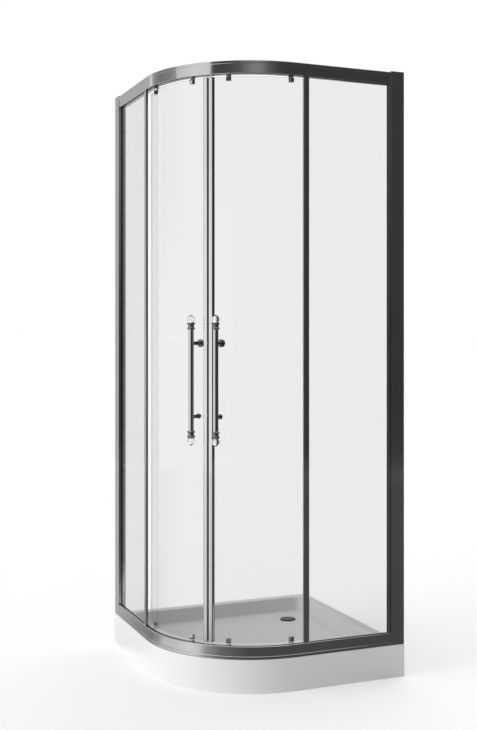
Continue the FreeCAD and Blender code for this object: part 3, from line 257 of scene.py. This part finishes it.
def radialFrame(angle, level, radius):  # angle runs from the doors' meeting line towards the right wall
    turn = math.radians(225 + angle)
    place = Matrix.Rotation(turn, 4, "Z")
    place.translation = (centre + radius * math.cos(turn), centre + radius * math.sin(turn), level)
    return place


def lathe(shape, profile, place, steps):
    corners = [shape.verts.new(place @ Vector((radius, 0, rise))) for rise, radius in profile]
    edges = [shape.edges.new(pair) for pair in zip(corners, corners[1:])]
    axis = (place.to_3x3() @ Vector((0, 0, 1))).normalized()
    bmesh.ops.spin(
        shape, geom=corners + edges, cent=place.translation, axis=axis,
        angle=math.tau, steps=steps, use_merge=True,
    )
    bmesh.ops.remove_doubles(shape, verts=shape.verts, dist=mergeGap)


def sweep(section, startX, turn, endY, steps):  # straight, round the rails' centre, then straight again
    shape = bmesh.new()
    corners = [shape.verts.new((startX, railFace + depth * mm, z * mm)) for depth, z in section]
    ring = [shape.edges.new((a, b)) for a, b in zip(corners, corners[1:] + corners[:1])]
    firstCap = list(corners)

    def pull(edges, shift):
        grown = bmesh.ops.extrude_edge_only(shape, edges=edges)["geom"]
        fresh = [item for item in grown if isinstance(item, bmesh.types.BMVert)]
        bmesh.ops.translate(shape, verts=fresh, vec=shift)
        kept = set(fresh)
        return [item for item in grown
                if isinstance(item, bmesh.types.BMEdge) and all(v in kept for v in item.verts)]

    ring = pull(ring, (centre - startX, 0, 0))
    tips = list({v for edge in ring for v in edge.verts})
    last = bmesh.ops.spin(
        shape, geom=tips + ring, cent=(centre, centre, 0), axis=(0, 0, 1),
        angle=-math.radians(turn), steps=steps, use_merge=False,
    )["geom_last"]
    ring = [item for item in last if isinstance(item, bmesh.types.BMEdge)]
    if endY is not None:
        ring = pull(ring, (0, endY - centre, 0))
    bmesh.ops.holes_fill(shape, edges=ring, sides=0)
    shape.faces.new(firstCap)
    bmesh.ops.recalc_face_normals(shape, faces=shape.faces)
    return shape


def boxAt(shape, low, high):
    low, high = Vector(low), Vector(high)
    made = bmesh.ops.create_cube(shape, size=1)["verts"]
    bmesh.ops.scale(shape, vec=high - low, verts=made)
    bmesh.ops.translate(shape, vec=(low + high) / 2, verts=made)


def roundedEdge(radius, level, steps):
    turns = [step * math.pi / (2 * steps) for step in range(steps + 1)]
    return [(radius - radius * math.sin(turn), level + radius * math.cos(turn)) for turn in turns]


# sections are (depth behind the outer face, height), in millimetres
rails = {
    "bottomLevel": 110, "topLevel": 2021, "height": 42, "turn": 90, "steps": 96,
    "edge": 0.35 * mm, "softenAngle": 30, "shadowStripEnd": 31.5 * mm,
    "bottomSection": [
        (0, 0), (36, 0), (36, 24), (16.6, 24), (16.6, 42), (15, 42), (15, 24), (7, 24), (7, 42),
        (2.2, 42), (1.2, 41), (1.2, 10.2), (0, 9),
    ],
    "topSection": [
        (7, 0), (7, 18), (15, 18), (15, 0), (30, 0), (30, 1.8), (16.6, 1.8), (16.6, 19.8),
        (3, 19.8), (3, 39), (5, 40.2), (34.2, 40.2), (34.2, 37), (36, 37), (36, 42),
        *roundedEdge(2.4, 39.6, 6), (0, 33), (1.2, 31.8), (1.2, 1), (2.2, 0),
    ],
    # section of the black strips that fill the grooves: painted shadow, a dark line where the glass
    # meets the rail
    "shadowFillSection": [(7.1, 24.1), (14.9, 24.1), (14.9, 39.5), (13, 40.5), (9, 40.5), (7.1, 39.5)],
}


def makeRails():
    for name, node, level, section in (
        ("bottomRail", "bottom_rail", rails["bottomLevel"], rails["bottomSection"]),
        ("topRail", "top_rail", rails["topLevel"], rails["topSection"]),
    ):
        lifted = [(depth, z + level) for depth, z in section]
        shape = sweep(lifted, railEnd, rails["turn"], railEnd, rails["steps"])
        softenEdges(shape, rails["edge"], rails["softenAngle"])
        finishPiece(name, shape, railChrome, "enclosure", [node])
    # black rubber strips in the rails' grooves are painted shadow along the rails' tops, beside the
    # glass
    fill, end = rails["shadowFillSection"], rails["shadowStripEnd"]
    low = [(depth, z + rails["bottomLevel"]) for depth, z in fill]
    high = [(depth, rails["topLevel"] + rails["height"] - z) for depth, z in reversed(fill)]
    for name, section in (("bottomGrooveShadowStrip", low), ("topGrooveShadowStrip", high)):
        shape = sweep(section, end, rails["turn"], end, rails["steps"])
        finishPiece(name, shape, blackRubber, "enclosure", ())


glass = {
    "doorFace": 32.98, "doorBack": 37.98, "doorLow": 155, "doorHigh": 2018, "doorTail": 50 * mm,
    "doorTurn": 43.676, "doorSteps": 60, "fixedLow": (32, -388.5, 135), "fixedHigh": (352, -383.5, 2038),
    "edge": 0.5 * mm, "softenAngle": 40,
}


def doorPane():
    section = [
        (glass["doorFace"], glass["doorLow"]), (glass["doorBack"], glass["doorLow"]),
        (glass["doorBack"], glass["doorHigh"]), (glass["doorFace"], glass["doorHigh"]),
    ]
    shape = sweep(section, glass["doorTail"], glass["doorTurn"], None, glass["doorSteps"])
    softenEdges(shape, glass["edge"], glass["softenAngle"])
    return shape


def fixedPane():
    shape = bmesh.new()
    boxAt(shape, Vector(glass["fixedLow"]) * mm, Vector(glass["fixedHigh"]) * mm)
    softenEdges(shape, glass["edge"], glass["softenAngle"])
    return shape


# turned profiles are (rise, radius), in millimetres
handle = {
    "angle": 6.3, "radius": 404.52 * mm, "middle": 1019, "mouth": 166, "fixings": (1140, 898),
    "barRadius": 9, "barBore": 7.6, "barLength": 348, "barEdge": 0.3 * mm, "softenAngle": 50,
    "barSteps": 64, "glassFace": 357.32, "glassBack": 351.72, "collarSteps": 48, "budStart": 24,
    "budFacets": 12, "facetAngle": 12, "standoffSteps": 40, "knobSteps": 48, "nutSteps": 32,
    "collar": [
        (8.1, 0), (8.1, 9.06), (0, 9.06), (0, 10.5), (0.6, 11.4), (1.6, 12.3), (2.4, 13.3), (3.5, 13.6),
        (4.6, 13.3), (5.4, 12.4), (6.4, 11.2), (8.5, 10.1), (11.5, 9.7), (14.5, 10.1), (16.6, 11.2),
        (17.6, 12.4), (18.4, 13.4), (19.5, 13.8), (20.7, 13.4), (21.6, 12.2), (22.3, 11.4),
        (23, 10.9), (24, 10.5), (24, 0),
    ],
    "bud": [
        (0, 0), (0, 8.8), (1.2, 10.4), (4, 12.2), (7.5, 13.2), (10.5, 13.45), (13.5, 12.9),
        (16.5, 11.3), (19.5, 8.6), (22, 5.4), (23.8, 2.4), (24.8, 0),
    ],
    "standoff": [
        (0, 0), (0, 8.2), (0.6, 9), (2.2, 9), (2.9, 8.4), (3.2, 7.2), (4.2, 6.2), (6.5, 6),
        (37, 6), (41, 6), (41, 0),
    ],
    "knob": [
        (9.5, 0), (9.5, 3.1), (0, 3.1), (0, 6), (1.5, 6), (3, 7), (3.6, 10.6), (4.8, 12.6), (6.4, 13.5),
        (8.8, 13.5), (10.6, 12.8), (12.6, 11), (14.2, 8.2), (15.3, 5), (15.9, 1.8), (16, 0),
    ],
    "nut": [
        (5, 0), (5, 3.1), (0, 3.1), (0, 5.6), (0.4, 6), (3.6, 6), (4.4, 5.6), (5.6, 4.9), (6.8, 3.6),
        (7.7, 1.6), (8, 0),
    ],
}


def scaled(profile):
    return [(rise * mm, radius * mm) for rise, radius in profile]


def barTube():
    shape = bmesh.new()
    place = radialFrame(handle["angle"], handle["middle"] * mm, handle["radius"])
    reach, outer, bore = handle["barLength"] / 2, handle["barRadius"], handle["barBore"]
    wall = [(-reach, bore), (-reach, outer), (reach, outer), (reach, bore), (-reach, bore)]
    lathe(shape, scaled(wall), place, handle["barSteps"])
    softenEdges(shape, handle["barEdge"], handle["softenAngle"])
    return shape


def bothEnds(profile, offset, steps):  # offset is counted from the bar's mouth, along the bar
    shape = bmesh.new()
    for sign in (1, -1):
        level = (handle["middle"] + sign * (handle["mouth"] + offset)) * mm
        place = radialFrame(handle["angle"], level, handle["radius"])
        if sign < 0:
            place = place @ Matrix.Rotation(math.pi, 4, "X")
        lathe(shape, scaled(profile), place, steps)
    return shape


def acrossGlass(level, radius, inwards=False):
    place = radialFrame(handle["angle"], level * mm, radius * mm)
    return place @ Matrix.Rotation(math.radians(-90 if inwards else 90), 4, "Y")


def standoffs():
    shape = bmesh.new()
    for level in handle["fixings"]:
        place = acrossGlass(level, handle["glassFace"])
        lathe(shape, scaled(handle["standoff"]), place, handle["standoffSteps"])
    return shape


def insideKnob():
    shape = bmesh.new()
    place = acrossGlass(handle["fixings"][0], handle["glassBack"], True)
    lathe(shape, scaled(handle["knob"]), place, handle["knobSteps"])
    return shape


def capNut():
    shape = bmesh.new()
    place = acrossGlass(handle["fixings"][1], handle["glassBack"], True)
    lathe(shape, scaled(handle["nut"]), place, handle["nutSteps"])
    return shape


waste = {
    "x": 244 * mm, "y": 224 * mm,
    "cover": [
        (63.6, 0), (63.6, 28.2), (64.2, 28.9), (64.9, 29), (65.5, 28.4), (65.9, 27), (66.2, 24.6),
        (66.5, 18), (66.9, 8), (67.1, 0),
    ],
    "plug": [(55.6, 16), (63.6, 16), (63.6, 18), (55.6, 18), (55.6, 16)],
    "flange": [
        (45.2, 22), (59.4, 22), (60.4, 22.6), (60.9, 24), (61.2, 27), (61.5, 30.2), (61.3, 31.1),
        (60.8, 31.5), (59, 31.5), (59, 25), (43, 25), (43, 19.5), (45.2, 19.5), (45.2, 22),
    ],
    "steps": 72, "plugSteps": 48,
}


def makeWaste():
    place = Matrix.Translation((waste["x"], waste["y"], 0))
    cover = bmesh.new()
    lathe(cover, scaled(waste["cover"]), place, waste["steps"])
    lathe(cover, scaled(waste["plug"]), place, waste["plugSteps"])
    finishPiece("drainCoverDome", cover, wasteChrome, "drain_cover", ["drain_cover"])
    flange = bmesh.new()
    lathe(flange, scaled(waste["flange"]), place, waste["steps"])
    finishPiece("wasteFlangeRing", flange, wasteChrome, "enclosure", ["waste_flange"])


tray = {
    "half": 400, "bend": 385, "turnCentre": -15, "height": 110, "skin": 5, "lip": 35, "lipGap": 1,
    "edge": 3, "outerCorner": 0.5, "frontRim": 62, "wallRim": 40, "corner": 40, "depth": 48,
    "floorSkin": 6, "draft": 27, "foot": 10, "seat": 32, "seatDepth": 3, "hole": 25.5,
    "cornerSteps": 8, "arcSteps": 72, "edgeSteps": 4, "rimSteps": 5, "footSteps": 7,
    "merge": 0.01 * mm, "smooth": 40,
}


def arcSpots(x, y, radius, start, end, steps):
    turns = [math.radians(start + (end - start) * step / steps) for step in range(steps + 1)]
    return [(x + radius * math.cos(turn), y + radius * math.sin(turn)) for turn in turns]


def trayLoop(front, wall, corner, level, lipLevel=None):
    far, near = tray["half"] - wall, front - tray["half"]
    lipStart = near + max(corner, tray["skin"] if front == 0 else tray["lipGap"])
    steps, bendCentre = tray["cornerSteps"], tray["turnCentre"]
    low = level if lipLevel is None else lipLevel
    right = arcSpots(far - corner, near + corner, corner, -90, 0, steps) + [(far, lipStart)]
    walls = [
        (far, lipStart), *arcSpots(far - corner, far - corner, corner, 0, 90, steps), (lipStart, far),
    ]
    left = [(lipStart, far)] + arcSpots(near + corner, far - corner, corner, 90, 180, steps)
    bend = arcSpots(bendCentre, bendCentre, tray["bend"] - front, 180, 270, tray["arcSteps"])
    return [
        *((x, y, level) for x, y in right),
        *((x, y, low) for x, y in walls),
        *((x, y, level) for x, y in left + bend),
    ]


def basinLoop(inwards, level):
    front, wall = tray["frontRim"] + inwards, tray["wallRim"] + inwards
    return trayLoop(front, wall, tray["corner"] - inwards, level)


def trayLevels():  # loops over the apron, the rim, down the basin, through the waste hole and back below
    top, edge, skin, square = tray["height"], tray["edge"], tray["skin"], tray["outerCorner"]
    slope = math.tan(math.radians(tray["draft"]))
    lean = math.radians(90 - tray["draft"])
    lipLevel = top - tray["lip"]
    floor, foot = top - tray["depth"], tray["foot"]
    loops = [trayLoop(0, 0, square, 0, lipLevel)]
    for step in range(tray["edgeSteps"] + 1):
        turn = math.radians(90 / tray["edgeSteps"] * step)
        inset = edge * (1 - math.cos(turn))
        loops.append(trayLoop(inset, inset, square, top - edge + edge * math.sin(turn)))
    for step in range(tray["rimSteps"] + 1):
        turn = lean * step / tray["rimSteps"]
        back = edge * (math.sin(turn) - math.tan(lean / 2))
        loops.append(basinLoop(back, top - edge + edge * math.cos(turn)))
    footInset = tray["depth"] * slope + foot * math.tan(lean / 2)
    for step in range(tray["footSteps"] + 1):
        turn = lean * (1 - step / tray["footSteps"])
        loops.append(basinLoop(footInset - foot * math.sin(turn), floor + foot - foot * math.cos(turn)))
    around = loops[-1]
    under = floor - tray["floorSkin"]
    for radius, level in (
        (tray["seat"], floor), (tray["seat"], floor - tray["seatDepth"]),
        (tray["hole"], floor - tray["seatDepth"]), (tray["hole"], under),
    ):
        ring = []
        for x, y, _ in around:
            away = Vector((x - waste["x"] / mm, y - waste["y"] / mm)).normalized() * radius
            ring.append((waste["x"] / mm + away.x, waste["y"] / mm + away.y, level))
        loops.append(ring)
    wall = skin / math.cos(math.radians(tray["draft"]))
    loops.append(basinLoop((top - under) * slope - wall, under))
    loops.append(basinLoop(skin * slope - wall, top - skin))
    loops.append(trayLoop(skin, skin, square, top - skin))
    loops.append(trayLoop(skin, skin, square, 0, lipLevel))
    return loops


def trayMoulding():
    shape = bmesh.new()
    rings = [[shape.verts.new(Vector(spot) * mm) for spot in loop] for loop in trayLevels()]
    for here, after in zip(rings, rings[1:] + rings[:1]):
        for index, corner in enumerate(here):
            before = index - 1
            shape.faces.new((here[before], corner, after[index], after[before]))
    bmesh.ops.remove_doubles(shape, verts=shape.verts, dist=tray["merge"])
    return shape


roller = {
    "track": 366, "axle": 2033.1, "front": 10.8, "rear": 45, "steps": 40,
    "tyre": [
        (-2.5, 6.9), (-2.5, 9.2), (-2, 9.8), (-0.8, 9.98), (0.8, 9.98), (2, 9.8), (2.5, 9.2), (2.5, 6.9),
        (-2.5, 6.9),
    ],
    "bearing": [
        (-1.9, 2.05), (-2.3, 2.3), (-2.3, 3.3), (-1.5, 3.7), (-1.5, 5.7), (-2.2, 6.1), (-2.2, 6.95),
        (2.2, 6.95), (2.2, 6.1), (1.5, 5.7), (1.5, 3.7), (2.3, 3.3), (2.3, 2.3), (1.9, 2.05),
        (-1.9, 2.05),
    ],
}


def wheelShape(angle, profile):
    shape = bmesh.new()
    place = radialFrame(angle, roller["axle"] * mm, roller["track"] * mm)
    lathe(shape, scaled(profile), place @ Matrix.Rotation(math.pi / 2, 4, "Y"), roller["steps"])
    return shape


# pieces made from the CAD solids, with softened edges
softened = {
    "angle": 40, "merge": 2e-6, "flat": 0.6,
    "twins": {  # node: (edge in millimetres, body, slot)
        "wall_channel": (0.4, "enclosure", "polished_frame"),
        "frame_post": (0.3, "enclosure", "polished_frame"),
        "fixed_stile": (0.3, "enclosure", "polished_frame"),
        "closing_stile": (0.35, "door", "polished_frame"),
        "clamp_blocks": (0.8, "door", "clamp_chrome"),
        "roller_brackets": (0.3, "door", "bright_steel"),
        "guide_brackets": (0.5, "door", "white_nylon"),
        "glazing_seal": (0.2, "enclosure", "black_rubber"),
        "magnetic_seal": (0.2, "door", "clear_seal"),
        "tail_seal": (0.15, "door", "clear_seal"),
        "front_fork": (0.3, "front_fork", "bright_steel"),
        "rear_fork": (0.3, "rear_fork", "bright_steel"),
    },
    "single": {  # node: (edge in millimetres, piece, slot)
        "channel_caps": (0.4, "channelCapPlates", "chrome_trim"),
        "bump_stops": (1.2, "bumpStopBlocks", "black_rubber"),
        "tray_support_frame": (0.6, "supportFrameTubes", "galvanised_steel"),
        "levelling_feet": (0.2, "levellingFootPads", "galvanised_steel"),
        "foot_lock_nuts": (0.4, "footLockNuts", "galvanised_steel"),
        "trap_body": (0.5, "trapMoulding", "waste_plastic"),
        "post_screws": (0.2, "postScrewHeads", "steel_screw"),
        "rail_end_blocks": (0.3, "railEndBlocks", "dark_plastic"),
    },
}


def softenedNode(node, width):
    shape = bmesh.new()
    shape.from_mesh(nodes[node].data)
    bmesh.ops.remove_doubles(shape, verts=shape.verts, dist=softened["merge"])
    flat = math.radians(softened["flat"])
    bmesh.ops.dissolve_limit(shape, angle_limit=flat, verts=shape.verts, edges=shape.edges)
    softenEdges(shape, width * mm, softened["angle"])
    return shape


def makeSoftened():
    for node, (width, body, slotName) in softened["twins"].items():
        for side in sides:
            words = f"{node}_{side}".split("_")
            name = words[0] + "".join(word.capitalize() for word in words[1:])
            shape = softenedNode(f"{node}_{side}", width)
            rider = bodyOf(side, body)
            finishPiece(name, shape, finishes[node], rider, [f"{node}_{side}"])
    for node, (width, name, slotName) in softened["single"].items():
        shape = softenedNode(node, width)
        finishPiece(name, shape, finishes[node], "enclosure", [node])


def makeDoorFittings():
    makeTwins("handleTube", barTube, handleChrome, "door", ["handle_bar"])
    makeTwins("handleCollar", lambda: bothEnds(handle["collar"], 0, handle["collarSteps"]), darkChrome,
              "door", ["handle_collars"])
    makeTwins("handleBud", lambda: bothEnds(handle["bud"], handle["budStart"], handle["budFacets"]),
              crystalClear, "door", ["handle_crystals"], handle["facetAngle"])
    makeTwins("handleStandoff", standoffs, darkChrome, "door", ["handle_standoffs"])
    makeTwins("insideKnobTurned", insideKnob, darkChrome, "door", ["inside_knob"])
    makeTwins("capNutTurned", capNut, handleChrome, "door", ["cap_nut"])


def makeWheels():
    for spot in ("front", "rear"):
        wheel = spot + "_wheel"
        makeTwins(spot + "Tyre", lambda: wheelShape(roller[spot], roller["tyre"]), whiteNylon,
                  wheel, [wheel])
        makeTwins(spot + "Bearing", lambda: wheelShape(roller[spot], roller["bearing"]), plainSteel,
                  wheel, ())


def makePieces():
    makeRails()
    makeTwins("doorPane", doorPane, panelGlass, "door", ["door_glass"])
    makeTwins("fixedPane", fixedPane, panelGlass, "enclosure", ["fixed_glass"])
    makeDoorFittings()
    makeWaste()
    makeWheels()
    makeSoftened()
    finishPiece("trayShape", trayMoulding(), whiteAcrylic, "enclosure", ["tray_shell"],
                tray["smooth"])


studio = {
    "floorSize": 600.0, "floorGrey": 0.88, "floorRough": 0.85, "floorLift": 0.306, "worldLevel": 0.44,
    "keyStrength": 2.4, "keyAngle": 45, "keyFrom": (-0.98, 0.0, 0.16),
    "backStrength": 0.9, "backAngle": 50, "backFrom": (0.45, 0.55, 0.75),
}
# rings that only reflections see; their tones are (angle round the object, brightness)
cards = {
    "radius": 6.0, "foot": 0.01, "top": 8.0, "floorLevel": 0.003, "floorStart": 0.5,
    "lowTop": 1.2, "highStart": 2.6, "seam": 0.01, "stepsPerDegree": 2,
    "highTones": [
        (60, 0.56), (118, 0.58), (121, 1.0), (124, 1.0), (128, 0.4), (142, 0.27), (158, 0.34),
        (167, 0.45), (168, 0.85), (190, 1.0), (207.6, 1.0), (208.2, 0.085), (222, 0.09), (236, 0.13),
        (249, 0.31), (256, 0.33), (266, 0.14), (278, 0.062), (360, 0.055), (420, 0.055),
    ],
    "lowTones": [
        (60, 0.56), (118, 0.58), (122, 0.9), (150, 1.1), (227, 1.1), (230, 0.055), (410, 0.055),
        (420, 0.3),
    ],
    "floorTones": [
        (60, 0.6), (120, 0.62), (132, 0.34), (150, 0.28), (162, 0.45), (168, 0.75), (198, 1.0),
        (206, 0.85), (212, 0.42), (224, 0.2), (245, 0.1), (290, 0.09), (360, 0.09), (420, 0.3),
    ],
}
photoView = {
    "lens": 54.96, "sensor": 36, "shift": (-0.0295, -0.0464), "reach": 1000,
    "eye": (-1.5332, -3.7218, 1.1802), "tilt": 90, "heading": -22.8166,
}


def toneGlow():
    made = bpy.data.materials.new("cardGlow")
    made.use_nodes = True
    tree = made.node_tree
    tree.nodes.clear()
    tone = addNode(tree, "ShaderNodeAttribute", attribute_name="tone")
    shine = addNode(tree, "ShaderNodeEmission", Strength=1.0)
    unseen = addNode(tree, "ShaderNodeBsdfTransparent")
    path = addNode(tree, "ShaderNodeLightPath")
    reflected = addNode(tree, "ShaderNodeMath", operation="GREATER_THAN")
    reflected.inputs[1].default_value = 0.5  # one reflection or more on the way
    mix = addNode(tree, "ShaderNodeMixShader")
    out = addNode(tree, "ShaderNodeOutputMaterial")
    tree.links.new(tone.outputs["Color"], shine.inputs["Color"])
    tree.links.new(path.outputs["Glossy Depth"], reflected.inputs[0])
    tree.links.new(reflected.outputs[0], mix.inputs["Fac"])
    tree.links.new(unseen.outputs[0], mix.inputs[1])
    tree.links.new(shine.outputs[0], mix.inputs[2])
    tree.links.new(mix.outputs[0], out.inputs["Surface"])
    return made


def toneAt(tones, angle):
    for (a, low), (b, high) in zip(tones, tones[1:]):
        if a <= angle <= b:
            return low + (high - low) * (angle - a) / (b - a)
    return tones[-1][1]


def reflectionCard(name, rows, material):  # rows are (radius, height, tones), spun round the object
    shape = bmesh.new()
    start, end = rows[0][2][0][0], rows[0][2][-1][0]
    heading = Vector((math.cos(math.radians(start)), math.sin(math.radians(start)), 0))
    points = [shape.verts.new(heading * radius + Vector((0, 0, z))) for radius, z, _ in rows]
    edges = [shape.edges.new(pair) for pair in zip(points, points[1:])]
    bmesh.ops.spin(
        shape, geom=points + edges, cent=(0, 0, 0), axis=(0, 0, 1),
        angle=math.radians(end - start - cards["seam"]), steps=(end - start) * cards["stepsPerDegree"],
        use_merge=False,
    )
    paint = shape.verts.layers.float_color.new("tone")
    for point in shape.verts:
        angle = math.degrees(math.atan2(point.co.y, point.co.x)) - start + cards["seam"] / 2
        angle = angle % 360 + start
        row = min(rows, key=lambda row: abs(row[0] - point.co.xy.length) + abs(row[1] - point.co.z))
        level = toneAt(row[2], angle)
        point[paint] = (level, level, level, 1)
    mesh = bpy.data.meshes.new(name)
    shape.to_mesh(mesh)
    shape.free()
    mesh.materials.append(material)
    card = bpy.data.objects.new(name, mesh)
    bpy.context.collection.objects.link(card)
    for ray in ("camera", "diffuse", "shadow", "volume_scatter"):
        setattr(card, "visible_" + ray, False)


def makeFloor():
    bpy.ops.mesh.primitive_plane_add(size=studio["floorSize"])
    floor = bpy.context.object
    floor.name = "studioFloor"
    made, tree, shader = newMaterial("floorWhite", Roughness=studio["floorRough"])
    grey = studio["floorGrey"]
    shader.inputs["Base Color"].default_value = (grey, grey, grey, 1)
    shader.inputs["Specular IOR Level"].default_value = 0.0
    shader.inputs["Emission Color"].default_value = (1, 1, 1, 1)
    lift = addNode(tree, "ShaderNodeMath", operation="MULTIPLY")
    lift.inputs[1].default_value = studio["floorLift"]
    tree.links.new(seenRays(tree), lift.inputs[0])
    tree.links.new(lift.outputs[0], shader.inputs["Emission Strength"])
    floor.data.materials.append(made)


def makeWorld():
    world = bpy.data.worlds.new("studioWorld")
    bpy.context.scene.world = world
    world.use_nodes = True
    tree = world.node_tree
    back = tree.nodes["Background"]
    back.inputs["Color"].default_value = (1, 1, 1, 1)
    level = addNode(tree, "ShaderNodeMapRange")
    level.inputs["To Min"].default_value = studio["worldLevel"]
    level.inputs["To Max"].default_value = 1.0
    tree.links.new(seenRays(tree), level.inputs["Value"])
    tree.links.new(level.outputs["Result"], back.inputs["Strength"])


def makeLamps():
    for lamp in ("key", "back"):
        sun = bpy.data.lights.new(lamp + "Sun", "SUN")
        sun.energy = studio[lamp + "Strength"]
        sun.angle = math.radians(studio[lamp + "Angle"])
        holder = bpy.data.objects.new(lamp + "Sun", sun)
        holder.rotation_euler = Vector(studio[lamp + "From"]).to_track_quat("Z", "Y").to_euler()
        holder.visible_glossy = False
        bpy.context.collection.objects.link(holder)


def makeCards():
    shine = toneGlow()
    rim, high, low = cards["radius"], cards["highTones"], cards["lowTones"]
    reflectionCard("wallRing", [
        (rim, cards["foot"], low), (rim, cards["lowTop"], low), (rim, cards["highStart"], high),
        (rim, cards["top"], high),
    ], shine)
    level, tones = cards["floorLevel"], cards["floorTones"]
    reflectionCard("floorRing", [(cards["floorStart"], level, tones), (rim, level, tones)], shine)


def makeCamera():
    camera = bpy.data.cameras.new("photoCamera")
    camera.lens = photoView["lens"]
    camera.sensor_width = photoView["sensor"]
    camera.shift_x, camera.shift_y = photoView["shift"]
    camera.clip_end = photoView["reach"]
    eye = bpy.data.objects.new("photoCamera", camera)
    eye.location = photoView["eye"]
    eye.rotation_euler = (math.radians(photoView["tilt"]), 0, math.radians(photoView["heading"]))
    bpy.context.collection.objects.link(eye)
    bpy.context.scene.camera = eye
    bpy.context.scene.view_settings.view_transform = "Standard"


def makeStage():
    makeFloor()
    makeWorld()
    makeLamps()
    makeCards()
    makeCamera()


makePieces()
print("pieces ready")
makeStage()
print("stage ready")
